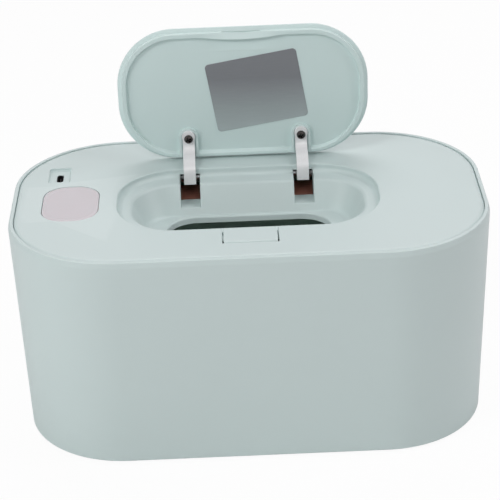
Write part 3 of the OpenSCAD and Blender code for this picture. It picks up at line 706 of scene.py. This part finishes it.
def heater_film_finish():
    """Amber film over etched heating tracks: brown lines and gaps run along the film."""
    finish, tree, shader = new_finish("heater_film")
    place = node(tree, "ShaderNodeTexCoord").outputs["Object"]
    tracks = node(tree, "ShaderNodeTexWave", {"Vector": place, "Scale": 110.0, "Distortion": 0.6},
                  bands_direction="Y").outputs["Fac"]
    haze = noise(tree, place, 120.0, 3.0)
    amber = mixed(tree, ranged(tree, tracks, 0.35, 0.5), (0.9, 0.36, 0.26, 1), (1.0, 0.45, 0.34, 1))
    dressed(tree, shader, {
        "Base Color": mixed(tree, haze, amber, (0.97, 0.41, 0.31, 1)),
        "Normal": bumped(tree, tracks, 0.3, 0.00004), "Roughness": 0.3, "Coat Weight": 0.3})
    return finish


painted(heater_film_finish(), "heater_film")
painted(aluminium, "heat_spreader")
painted(gasket_white, "cover_gasket")
painted(solder_green, "control_board")
painted(black_plastic, "board_parts", "display_module", "switch_plunger", "temperature_sensor")
painted(switch_grey, "key_switch")
painted(socket_black, "socket_shell", "socket_tongue")


def tube(points, radius, sides=12):
    """Round wire mesh along points, with its ends closed."""
    mesh = bmesh.new()
    points = [Vector(p) for p in points]
    last = len(points) - 1
    along = [(points[min(i + 1, last)] - points[max(i - 1, 0)]).normalized() for i in range(last + 1)]
    side = along[0].orthogonal().normalized()
    rings = []
    for p, t in zip(points, along):
        side = (side - t * side.dot(t)).normalized()
        other = t.cross(side)
        rings.append([mesh.verts.new(p + radius * (math.cos(a) * side + math.sin(a) * other))
                      for a in (math.tau * k / sides for k in range(sides))])
    return bridged(mesh, rings)


film_top_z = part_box("heater_film")[1].z
board_low_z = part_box("control_board")[0].z
lead_straight = 0.8 * mm
lead_rise = board_low_z - film_top_z - 2 * lead_straight
leads = []
for x in (-92 * mm, -87 * mm):
    route = [(x, 24 * mm, film_top_z)]
    for i in range(33):
        part = i / 32
        route.append((x + 2 * mm * (1 - math.cos(math.tau * part)),
                      (27 - 3 * math.cos(math.pi * part)) * mm,
                      film_top_z + lead_straight + lead_rise * part))
    leads.append(tube(route + [(x, 30 * mm, board_low_z)], 0.7 * mm))
finished(as_object("heater_wires", together(leads)), red_sleeve, "cover",
         ["heater_leads"])

# ---- Screws ----
# Pan-head screws with cross recesses, zinc-plated under the cover and the base; on the lid, nickel
# painted dark with painted glints, standing in for reflections. The shanks have rings for their threads.


def screw_mesh(head_r, head_high, shank_r, length, recess=1.4):
    """Screw that points up: its head's underside is at z = 0."""
    dome = [(0.05 * mm, -head_high), (head_r * 0.45, -head_high), (head_r * 0.8, -head_high * 0.82),
            (head_r * 0.97, -head_high * 0.45), (head_r, -head_high * 0.2), (head_r, -0.05 * mm),
            (head_r - 0.1 * mm, 0)]
    pitch = 0.7 * mm
    rings = max(int((length - 0.6 * mm) / pitch), 1)
    shank = [(shank_r, 0)]
    for i in range(rings):
        z = 0.2 * mm + i * pitch
        shank += [(shank_r * 0.8, z), (shank_r * 0.8, z + pitch * 0.3), (shank_r, z + pitch * 0.5)]
    profile = dome + shank + [(shank_r * 0.6, length), (0.05 * mm, length)]
    body = as_object("screw", swept((0, 0), profile, closed=False, corner_steps=10))
    half, deep, thick = recess * mm, head_high * 0.85, 0.4 * mm
    for turn in (0, 90):
        blade = bmesh.new()
        low, high = [[blade.verts.new((x * half * wide, y * thick * thin, z))
                      for x, y in ((-1, -1), (1, -1), (1, 1), (-1, 1))]
                     for wide, thin, z in ((1, 1, -head_high - 0.2 * mm), (0.45, 0.6, -head_high + deep))]
        blade.faces.new(low)
        blade.faces.new(high)
        for k in range(4):
            blade.faces.new((low[k], low[(k + 1) % 4], high[(k + 1) % 4], high[k]))
        blade.transform(Matrix.Rotation(math.radians(turn), 4, "Z"))
        body = shaped(body, "DIFFERENCE", blade)
    mesh = bmesh.new()
    mesh.from_mesh(body.data)
    bpy.data.objects.remove(body)
    return mesh


def placed(mesh, spots):
    """One mesh with a copy at each spot."""
    copies = []
    for spot in spots:
        copy = mesh.copy()
        copy.transform(spot)
        copies.append(copy)
    mesh.free()
    return together(copies)


# Each set: its name, node, lowest height, body and places, then in millimetres (head radius, head
# height, shank radius, length) and the cross's reach, and how far x and y turn a screw
screw_sets = (
    ("base_screw_set", "base_screws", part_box("base_screws")[0].z, "housing", base_screw_places,
     (2.7, 1.4, 1.25, 4.8), 1.4, (20, 9)),
    ("cover_screw_set", "cover_screws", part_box("cover_screws")[0].z, "cover", cover_screw_places,
     (2.7, 1.4, 1.25, 9), 1.4, (13, 7)),
    ("board_screw_set", "board_screws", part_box("board_screws")[0].z, "cover", board_screw_places,
     (2.0, 1.2, 1.0, 5.5), 1.0, (0, 0)))
for name, replaced, low_z, body, places, sizes, recess, (turn_x, turn_y) in screw_sets:
    head_z = low_z + sizes[1] * mm
    spots = [Matrix.Translation((x, y, head_z)) @ Matrix.Rotation(x * turn_x + y * turn_y, 4, "Z")
             for x, y in places]
    screw = screw_mesh(*(size * mm for size in sizes), recess)
    finished(as_object(name, placed(screw, spots)), zinc_steel, body, [replaced])

# ---- Lid ----
# A shallow moulded flap. Its underside has a rim ridge that drops into the seat, thickened in front
# for the catch, and two arch-shaped walls round the screws that hold the arms.
open_angle = math.radians(92.6)
lid_size = (130.2 * mm, 70.8 * mm)
lid_r = 30.35 * mm
lid_y = -3.35 * mm
lid_plan = (lid_size[0] / 2 - lid_r, lid_size[1] / 2 - lid_r)
lid_back = lid_y + lid_size[1] / 2
lid_front = lid_y - lid_size[1] / 2
ridge_out_r = lid_r - 2.1 * mm
ridge_in_r = lid_r - 4.5 * mm
ridge_wide = ridge_out_r - ridge_in_r
ridge_depth = 4.0
panel_depth = 2.2
flange_depth = 1.7
flange_edge_depth = 0.95
foot_depth = 3.0
catch_half = 21.25 * mm
catch_bulge = 1.7 * mm
catch_arc_r = (catch_half ** 2 + catch_bulge ** 2) / (2 * catch_bulge)
catch_slope = 1.6 * mm
catch_hollow = 1.0 * mm
catch_reach = 11 * mm
back_shift = 0.85 * mm
back_foot_shift = 0.3 * mm
back_slope = 1.2 * mm
arch_in = 3.8 * mm
arch_out = 5 * mm
arch_y = 19.9 * mm
screw_y = 20.4 * mm
foot_tip_y = 19.45 * mm
swing_open = (Matrix.Translation((0, *hinge_place)) @ Matrix.Rotation(-open_angle, 4, "X")
              @ Matrix.Translation((0, -hinge_place[0], -hinge_place[1])))

lid_section = filleted([
    (lid_r - 12 * mm, top_z), (lid_r, top_z, 0.3 * mm), (lid_r, below(flange_edge_depth), 0.5 * mm),
    (ridge_out_r, below(flange_depth), 0.2 * mm), (ridge_out_r, below(ridge_depth), 0.45 * mm),
    (ridge_in_r, below(ridge_depth), 0.3 * mm), (ridge_in_r, below(panel_depth), 0.15 * mm),
    (ridge_in_r - 0.6 * mm, below(panel_depth))], closed=False)
lid_section += [(ridge_in_r - reach * mm, below(panel_depth))
                for reach in (1.1, 1.7, 2.4, 3.2, 4.1, 5.2, 8)]
lid_mesh = swept(lid_plan, lid_section, closed=False, at=(0, lid_y), corner_steps=fine_steps,
                 side_steps=48)

# The ridge leans and shifts towards the hinge
for v in lid_mesh.verts:
    out = Vector((max(abs(v.co.x) - lid_plan[0], 0), v.co.y - lid_y - lid_plan[1]))
    depth = (top_z - v.co.z) / mm
    on_ridge = ridge_in_r - 0.65 * mm < out.length < ridge_out_r + 0.05 * mm
    if out.y > 0 and on_ridge and depth > flange_depth - 0.01:
        crest = min(max((depth - panel_depth) / (ridge_depth - panel_depth), 0), 1)
        inner = out.length < (ridge_in_r + ridge_out_r) / 2
        shift = back_foot_shift + back_slope * crest if inner else back_shift
        v.co.y += shift * (out.y / out.length) ** 4

# The catch: in front the ridge bulges inwards and slopes, with a slight hollow behind it
for v in lid_mesh.verts:
    inward = v.co.y - lid_front - (lid_r - ridge_out_r)
    depth = (top_z - v.co.z) / mm
    if inward > catch_reach or abs(v.co.x) >= catch_half or depth < flange_depth + 0.1:
        continue
    bulge = math.sqrt(catch_arc_r ** 2 - v.co.x ** 2) - catch_arc_r + catch_bulge
    share = bulge / catch_bulge
    if inward > ridge_wide - 0.02 * mm and depth < panel_depth + 0.2:
        past = (inward - ridge_wide) / mm
        v.co.y += bulge * max(0, 1 - past / 8)
        v.co.z += catch_hollow * share * min(1, max(0, 1.3 - past / 6.5))
    else:
        across = min(max(inward / ridge_wide, 0), 1)
        v.co.y += bulge * across
        if depth > ridge_depth - 0.5:
            v.co.z += catch_slope * share * (1 - across)
lid = as_object("flip_lid", lid_mesh)


def arch_block(x, radius, back, low, high):
    """Block with an arch's plan: round in front of the screw, straight back to a line."""
    round_front = [(x + radius * math.cos(a), arch_y + radius * math.sin(a))
                   for a in (math.pi * (1 + k / 24) for k in range(25))]
    return plate_between(round_front + [(x + radius, back), (x - radius, back)], "Z", low, high)


arch_top = (below(ridge_depth), below(panel_depth - 0.5))
arch_space = (below(ridge_depth + 1), below(foot_depth))
for x in arm_places:
    lid = shaped(lid, "UNION", arch_block(x, arch_out, lid_back - 2.6 * mm, *arch_top))
for x in arm_places:
    lid = shaped(lid, "DIFFERENCE", arch_block(x, arch_in, lid_back + 2 * mm, *arch_space))
lid = shaped(lid, "DIFFERENCE", box_between((-10 * mm, lid_front + 1.6 * mm, below(2.6)),
                                            (10 * mm, lid_front + 3.3 * mm, below(1.8))))


def arch_edge(point):
    """Whether an edge is on the top of an arch's wall."""
    near = min((Vector((x, arch_y)) - point.xy).length for x in arm_places)
    beside = min(abs(abs(point.x - x) - arch_in) for x in arm_places) < 0.2 * mm
    on_top = abs(point.z - below(ridge_depth)) < 0.05 * mm and point.y < lid_back - 2 * mm
    return on_top and (near < arch_out + 0.2 * mm or beside)


lid = softened(lid, 0.5 * mm, arch_edge)
lid.data.transform(swing_open)
# A lighter, greener copy of the housing's mint: painted light standing in for the light bounced onto the
# lid's inside
lid_plastic_painted_lighter = moulded_plastic("lid_plastic_painted_lighter", (0.622, 0.748, 0.736, 1), mint_edge_wear_and_highlight, 0.42, shell_grain)
finished(lid, lid_plastic_painted_lighter, "lid", ["lid"])

# ---- Label plate ----
# A blank foil plate, stuck on the lid's underside a little askew. It is thin enough to follow the
# panel, with one small crease near its far edge.
label_size = (48 * mm, 37.5 * mm)
label_r = 2 * mm
label_place = (7.1 * mm, -4.2 * mm)
label_turn = math.radians(-9.1)
label_thick = 0.3 * mm
face_rings = 30


def crowned_plate(size, radius, heights, height_at):
    """Rounded plate whose upper face is a fan of rings, so that its height can vary over it."""
    mesh = bmesh.new()
    base = swept((size[0] / 2 - radius, size[1] / 2 - radius), [(radius, 0), (radius * 0.9, 0)],
                 closed=False, corner_steps=12, side_steps=24)
    base.verts.ensure_lookup_table()
    outline = [base.verts[k].co.xy.copy() for k in range(len(base.verts) // 2)]
    base.free()
    rings = []
    for inset, z in heights:
        share = 1 - inset / (min(size) / 2)
        rings.append([mesh.verts.new((p.x * share, p.y * share, z)) for p in outline])
    edge_inset, edge_z = heights[-1]
    start = 1 - edge_inset / (min(size) / 2)
    for i in range(1, face_rings + 1):
        share = start * (1 - i / (face_rings + 1))
        inner = [(p.x * share, p.y * share) for p in outline]
        rings.append([mesh.verts.new((x, y, edge_z + height_at(x, y))) for x, y in inner])
    return bridged(mesh, rings)


def foil_height(x, y):
    """Slight waves of the foil, and the crease near the lid's front edge."""
    along = (x - 8.5 * mm) * 0.94 + (y + 15.5 * mm) * 0.34
    across = -(x - 8.5 * mm) * 0.34 + (y + 15.5 * mm) * 0.94
    crease = 0.16 * mm * math.exp(-(across / (0.5 * mm)) ** 2 - (along / (3.2 * mm)) ** 4)
    waves = 0.03 * mm * math.sin(x / (9 * mm) + 1.1) * math.cos(y / (7 * mm))
    return crease + waves


label_profile = [(0, 0), (0, label_thick * 0.7), (label_thick * 0.3, label_thick)]
label = crowned_plate(label_size, label_r, label_profile, foil_height)
label.transform(Matrix.Translation((*label_place, below(panel_depth)))
                @ Matrix.Rotation(label_turn, 4, "Z") @ Matrix.Scale(-1, 4, (0, 0, 1)))
label.transform(swing_open)
foil_label = as_object("blank_label", label)
label_low_z = min(v.co.z for v in foil_label.data.vertices)
label_high_z = max(v.co.z for v in foil_label.data.vertices)


def foil_finish():
    """Satin foil with a fine brushed grain, and a painted reflection: lighter at the hinge, darker
    towards the lid's front edge.
    """
    finish = plain_finish("label_foil", (0.2, 0.215, 0.23, 1), 0.42, 1300, metallic=0.3, contrast=0.05,
                          depth=0.12)
    tree = finish.node_tree
    place = node(tree, "ShaderNodeTexCoord").outputs["Object"]
    height = node(tree, "ShaderNodeSeparateXYZ", {"Vector": place}).outputs["Z"]
    # Painted reflection: the base colour is graded along the height of the open lid
    painted_reflection_tone = ranged(tree, height, label_low_z, label_low_z * 0.35 + label_high_z * 0.65)
    brushed = node(tree, "ShaderNodeMapping", {"Vector": place, "Scale": (160.0, 160.0, 2600.0)})
    lines = ranged(tree, noise(tree, brushed.outputs[0], 1.0, 3.0), 0.0, 1.0, 0.95, 1.05)
    base = mixed(tree, painted_reflection_tone, (0.43, 0.49, 0.495, 1), (0.205, 0.212, 0.228, 1))
    dressed(tree, tree.nodes["Principled BSDF"],
            {"Base Color": mixed(tree, 1.0, base, lines, "MULTIPLY")})
    return finish


finished(foil_label, foil_finish(), "lid", ["label_plate"])

# ---- Hinge arms ----
# Two white gooseneck arms. The foot is screwed into the lid's arch, and the neck bends down through
# the slot and back up to the hub on its steel pin, so the shut lid shows no hinge.
arm_wide = 6.2 * mm
neck_in = 10.7
neck_out = 13.2
limb_top = -8.2
limb_low = -10.7
foot_top = 4.6
foot_low = 2.6
hub_r = 3.2
arm_bore = 1.55
arm_foot_r = 3.45
arm_edge = 0.3 * mm


def bend(radius, start, end, steps=24):
    """Points of a bend about the hinge axis, in millimetres, from one angle to another."""
    return [(radius * math.cos(math.radians(start + (end - start) * k / steps)),
             radius * math.sin(math.radians(start + (end - start) * k / steps)))
            for k in range(steps + 1)]


def angle_at(radius, height):
    """Angle, behind the axis's front side, at which a circle reaches a height."""
    return 180 - math.degrees(math.asin(height / radius))


def eased(start, corner, end, steps=16):
    """Points of a soft curve that leaves one point and reaches another in line with their corner."""
    start, corner, end = Vector(start), Vector(corner), Vector(end)
    return [tuple(start * (1 - t) ** 2 + corner * 2 * t * (1 - t) + end * t ** 2)
            for t in (k / steps for k in range(steps + 1))]


def disc(radius, count):
    """Outline of a circle about the origin, its radius in millimetres."""
    return [(radius * mm * math.cos(a), radius * mm * math.sin(a))
            for a in (math.tau * k / count for k in range(count))]


foot_reach = (foot_tip_y - hinge_place[0]) / mm
arm_outline = [(foot_reach, foot_top)]
arm_outline += bend(neck_in, angle_at(neck_in, foot_top), angle_at(neck_in, limb_top))
arm_outline += [(-2.55, limb_top)] + bend(hub_r, 209, -22, 28) + [(0.4, limb_low)]
neck_arc = bend(neck_out, 216, 188)
arm_outline += eased((-4.6, limb_low), (-8.35, limb_low), neck_arc[0])[:-1] + neck_arc
arm_outline += eased(neck_arc[-1], (-13.3, foot_low), (-17.2, foot_low))[1:] + [(foot_reach, foot_low)]
white_plastic = moulded_plastic("white_plastic", (0.82, 0.82, 0.83, 1), (0.9, 0.9, 0.9, 1), 0.24, 1500,
                                depth=0.12, patches=0.02, specks=0.1)
for name, x, node_name in (("gooseneck_left", -arm_x, "hinge_arm_left"),
                           ("gooseneck_right", arm_x, "hinge_arm_right")):
    outline = [(hinge_place[0] + y * mm, hinge_place[1] + z * mm) for y, z in arm_outline]
    arm = as_object(name, plate_between(outline, "X", x - arm_wide / 2, x + arm_wide / 2))
    foot = plate_between(disc(arm_foot_r, 48), "Z", below(5), below(foot_depth), at=(x, foot_tip_y, 0))
    bore = plate_between([(hinge_place[0] + y, hinge_place[1] + z) for y, z in disc(arm_bore, 32)],
                         "X", x - arm_wide, x + arm_wide)
    arm = shaped(arm, "UNION", foot)
    arm = shaped(arm, "DIFFERENCE", bore)
    arm = softened(arm, arm_edge, lambda point: True)
    arm.data.transform(swing_open)
    finished(arm, white_plastic, "lid", [node_name])

# Their screws: nickel painted dark for the dark surroundings it reflects, with painted glints on the
# crown and the cross's walls
nickel_painted_dark = plain_finish("nickel_painted_dark", (0.07, 0.062, 0.06, 1), 0.2, 1800, metallic=1.0, contrast=0.2)
nickel_painted_glint = plain_finish("nickel_painted_glint", (0.62, 0.6, 0.58, 1), 0.22, 1800, metallic=1.0, contrast=0.12)
lid_screw = screw_mesh(2.3 * mm, 1.5 * mm, 1.25 * mm, 4 * mm, recess=1.65)
# Faces at the crown's middle and on the cross's walls take the painted glint; the rest keeps the painted
# dark
for face in lid_screw.faces:
    centre = face.calc_center_median()
    if centre.z < -0.2 * mm and centre.xy.length < 1.75 * mm:
        face.material_index = 1 if centre.xy.length < 0.85 * mm or abs(face.normal.z) < 0.6 else 0
lid_screw_spots = [swing_open @ Matrix.Translation((x, screw_y, below(5)))
                   @ Matrix.Rotation(x * 30 + 0.4, 4, "Z") for x in arm_places]
screw_pair = finished(as_object("lid_screw_pair", placed(lid_screw, lid_screw_spots)), nickel_painted_dark,
                      "lid", ["lid_screws"])
screw_pair.data.materials.append(nickel_painted_glint)

# ---- Hinge pins and springs ----
# Each arm turns on a ground steel pin, and a small torsion spring on the pin lifts the lid: one leg
# lies under the arm, the other against the cover's plate.
lay_across = Matrix.Rotation(math.pi / 2, 4, "Y")


def pin_rod(radius, length, edge, steps):
    """Ground pin with rounded ends, upright about the origin."""
    return moulded((0, 0), [(0.05 * mm, -length / 2), (radius, -length / 2, edge),
                            (radius, length / 2, edge), (0.05 * mm, length / 2)], corner_steps=steps)


pins = placed(pin_rod(pin_r, 2 * (ear_in + ear_thick), 0.25 * mm, 10),
              [Matrix.Translation((x, *hinge_place)) @ lay_across for x in arm_places])
finished(as_object("hinge_pin_pair", pins), zinc_steel, "cover", ["hinge_pins"])

coil_r = 2.3 * mm
coil_turns = 2.25
coil_steps = 108
coil_start = arm_wide / 2 + 0.4 * mm
coil_span = ear_in - arm_wide / 2 - 0.8 * mm
spring_leg = [(arm_wide / 2 - 1.3 * mm, -5.3 * mm, -0.78 * mm),
              (arm_wide / 2 + 0.1 * mm, -5.3 * mm, -0.78 * mm),
              (coil_start - 0.05 * mm, -5.05 * mm, -0.95 * mm), (coil_start, -4.6 * mm, -1.15 * mm)]
for name, side in (("torsion_spring_left", -1), ("torsion_spring_right", 1)):
    path = list(spring_leg)
    for i in range(coil_steps + 1):
        turn = math.radians(-90 + 360 * coil_turns * i / coil_steps)
        path.append((coil_start + coil_span * i / coil_steps, coil_r * math.cos(turn),
                     coil_r * math.sin(turn)))
    path.append((coil_start + coil_span, coil_r - 0.4 * mm, 4.6 * mm))
    path = [(side * (arm_x + x), hinge_place[0] + y, hinge_place[1] + z) for x, y, z in path]
    spring = finished(as_object(name, tube(path, 0.25 * mm, 10)), spring_steel, None,
                      ["torsion_springs"])
    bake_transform(spring)

# ---- Latch ----
# A rocking push plate: its nose holds the lid's catch, its barrel turns on a pin between two ears,
# and a small coil spring under its front edge pushes it back up.
button_front = latch_back_y - latch_length
button_outline = filleted([
    (latch_back_y, below(2)), (latch_back_y, top_z, 0.35 * mm), (button_front, top_z, 1.2 * mm),
    (button_front, below(2), 0.3 * mm)])
button = as_object("latch_plate",
                   plate_between(button_outline, "X", -latch_width / 2, latch_width / 2))
button = softened(button, 0.35 * mm, lambda point: abs(abs(point.x) - latch_width / 2) < 0.01 * mm)
nose = side_view([(-41.0, 1.8), (-39.3, 1.8), (-39.3, 2), (-36.7, 2), (-36.15, 2.25), (-36.35, 2.5),
                  (-39.35, 2.5), (-39.35, 4), (-41.0, 4)], 0, 18 * mm)
web = side_view([(-43.9, 1.8), (-42.2, 1.8), (-42.2, 9), (-41.2, 12.5), (-44.8, 12.5), (-44.2, 9)], 0,
                2 * latch_ear_x - 1.6 * mm)
barrel_half = latch_ear_x - 0.3 * mm
barrel = swept((0, 0), filleted([
    (1.05 * mm, -barrel_half), (2.1 * mm, -barrel_half, 0.2 * mm), (2.1 * mm, barrel_half, 0.2 * mm),
    (1.05 * mm, barrel_half)]), corner_steps=8)
latch_rod = pin_rod(mm, 2 * (latch_ear_x + ear_thick), 0.2 * mm, 8)
for mesh in (barrel, latch_rod):
    mesh.transform(Matrix.Translation((0, *latch_pin)) @ lay_across)
button = shaped(button, "UNION", nose, web, barrel)
finished(button, mint_plastic, "latch", ["latch_button"])
finished(as_object("latch_pin_rod", latch_rod), zinc_steel, "cover", ["latch_pin"])

spring_wire = 0.5 * mm
spring_r = 2.4 * mm
spring_y = -51 * mm
spring_low = shelf_z + spring_wire
spring_high = below(2) - spring_wire
spring_path = [(spring_r * math.cos(math.tau * i / 24), spring_y + spring_r * math.sin(math.tau * i / 24),
                spring_low + (spring_high - spring_low) * i / 120) for i in range(121)]
latch_coil = finished(as_object("latch_coil", tube(spring_path, spring_wire / 2, 10)), spring_steel,
                      "cover", ["latch_spring"])
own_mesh(latch_coil)

# ---- Power key ----
# A milky pink window that is also the push key: a lip under the cover's plate keeps it in, and a
# post under it meets the switch. Its face is slightly crowned.
key_edge = 0.3 * mm
bezel = 1.1 * mm
bezel_drop = 0.14 * mm
key_thick = 2.6
lip = 1 * mm
edge_z = top_z - key_edge - bezel_drop
key_profile = [(0, below(key_thick)), (0, edge_z)]
key_profile += [(key_edge * (1 - math.cos(a)), edge_z + key_edge * math.sin(a))
                for a in (math.radians(84) * k / 5 for k in range(1, 6))]
key_profile += [(key_edge + bezel, top_z - 0.03 * mm),
                (key_edge + bezel + 0.12 * mm, top_z - 0.05 * mm), (key_edge + bezel + 0.3 * mm, top_z)]


def key_crown(x, y):
    """Crown of the key's face."""
    return -0.12 * mm * ((x / (key_size[0] / 2)) ** 2 + (y / (key_size[1] / 2)) ** 2)


key = as_object("window_key", crowned_plate(key_size, key_r, key_profile, key_crown))
key.data.transform(Matrix.Translation((*key_place, 0)))
lip_half = (key_size[0] / 2 - key_r, key_size[1] / 2 - key_r)
key_lip = moulded(lip_half, [(4 * mm, below(3.2)), (key_r + lip, below(3.2), 0.2 * mm),
                             (key_r + lip, below(2.2), 0.2 * mm), (4 * mm, below(2.2))], at=key_place)
post_z = board_top_z + 5 * mm
post = swept((0, 0), [(0.1 * mm, post_z), (2 * mm, post_z), (2 * mm, below(2.4)), (0.1 * mm, below(2.4))],
             closed=False, at=(key_place[0], 5 * mm), corner_steps=10)
key = shaped(key, "UNION", key_lip, post)
key_window = moulded_plastic("key_window", (0.60, 0.565, 0.595, 1), (0.70, 0.64, 0.68, 1), 0.22, 1200,
                             depth=0.06, patches=0.03, specks=0.1, edge=0.5, Coat_Weight=0.3,
                             Subsurface_Weight=0.4, Subsurface_Radius=(1.0, 0.7, 0.75),
                             Subsurface_Scale=0.002)
finished(key, key_window, "key", ["power_key"])

# ---- Floor, light and camera ----
# A white studio sweep under wide soft lights, seen from the front and a little above.
view_target = Vector((0.00005, 0, 0.0818))
view_distance = 0.99283
view_azimuth = math.radians(-0.67)
view_elevation = math.radians(26.77)
view_roll = math.radians(-2.10)
view_lens = 139.02

camera = bpy.data.objects.new("camera", bpy.data.cameras.new("camera"))
bpy.context.scene.collection.objects.link(camera)
towards = Vector((math.sin(view_azimuth) * math.cos(view_elevation),
                  -math.cos(view_azimuth) * math.cos(view_elevation), math.sin(view_elevation)))
camera.location = view_target + towards * view_distance
camera.rotation_mode = "QUATERNION"
camera.rotation_quaternion = (-towards).to_track_quat("-Z", "Y") @ Quaternion((0, 0, 1), view_roll)
camera.data.sensor_width = 36
camera.data.lens = view_lens
camera.data.clip_start = 0.05
camera.data.clip_end = 30
bpy.context.scene.camera = camera
bpy.context.scene.view_settings.view_transform = "Standard"

floor_size = 6
floor_mesh = bmesh.new()
bmesh.ops.create_grid(floor_mesh, x_segments=1, y_segments=1, size=floor_size / 2)
floor = as_object("floor", floor_mesh)
floor_finish, floor_tree, floor_shader = new_finish("white_sweep")
dressed(floor_tree, floor_shader, {"Base Color": (0.94, 0.94, 0.94, 1), "Roughness": 0.8})
floor_glow = node(floor_tree, "ShaderNodeEmission", {"Color": (1, 1, 1, 1), "Strength": 1.0})
floor_path = node(floor_tree, "ShaderNodeLightPath")
floor_seen = maths(floor_tree, "MULTIPLY", floor_path.outputs["Is Camera Ray"], 0.94)
floor_mix = node(floor_tree, "ShaderNodeMixShader", {0: floor_seen, 1: floor_shader.outputs[0],
                                                     2: floor_glow.outputs[0]})
dressed(floor_tree, floor_tree.nodes["Material Output"], {"Surface": floor_mix.outputs[0]})
floor.data.materials.append(floor_finish)

world = bpy.data.worlds.new("studio")
bpy.context.scene.world = world
world.use_nodes = True
sky = world.node_tree
sky_fill = sky.nodes["Background"]
dressed(sky, sky_fill, {"Color": (0.97, 0.985, 1, 1), "Strength": 0.02})
sky_white = node(sky, "ShaderNodeBackground", {"Color": (1, 1, 1, 1), "Strength": 1.0})
sky_path = node(sky, "ShaderNodeLightPath").outputs
sky_seen = maths(sky, "MAXIMUM", sky_path["Is Camera Ray"], sky_path["Is Transmission Ray"])
sky_seen = maths(sky, "MAXIMUM", sky_path["Is Glossy Ray"], sky_seen)
sky_mix = node(sky, "ShaderNodeMixShader", {0: sky_seen, 1: sky_fill.outputs[0],
                                            2: sky_white.outputs[0]})
dressed(sky, sky.nodes["World Output"], {"Surface": sky_mix.outputs[0]})


def soft_light(name, place, width, height, watts, colour=(1, 1, 1)):
    """A rectangular soft light, turned to face the object."""
    lamp = bpy.data.lights.new(name, "AREA")
    lamp.shape = "RECTANGLE"
    lamp.size, lamp.size_y = width, height
    lamp.energy = watts
    lamp.color = colour
    holder = bpy.data.objects.new(name, lamp)
    holder.location = place
    aim = Vector((0, 0, 0.07)) - Vector(place)
    holder.rotation_euler = aim.to_track_quat("-Z", "Y").to_euler()
    bpy.context.scene.collection.objects.link(holder)


warm = (1, 0.955, 0.975)
soft_light("key_left", (-0.8, -0.8, 1.2), 0.4, 0.4, 6.0)
soft_light("key_front", (0, -1.1, 1.0), 0.5, 0.4, 2.8)
soft_light("side_left", (-1.3, -0.5, 0.7), 0.4, 0.4, 4.0)
soft_light("side_right", (1.3, -0.5, 0.7), 0.4, 0.4, 2.6)
soft_light("low_left", (-1.0, -1.2, 0.25), 0.6, 0.5, 2.1)
soft_light("over_back", (0, 0.7, 1.2), 1.0, 0.7, 6.7, warm)
soft_light("over_right", (0.9, 0, 1.15), 0.7, 0.7, 5.9, warm)
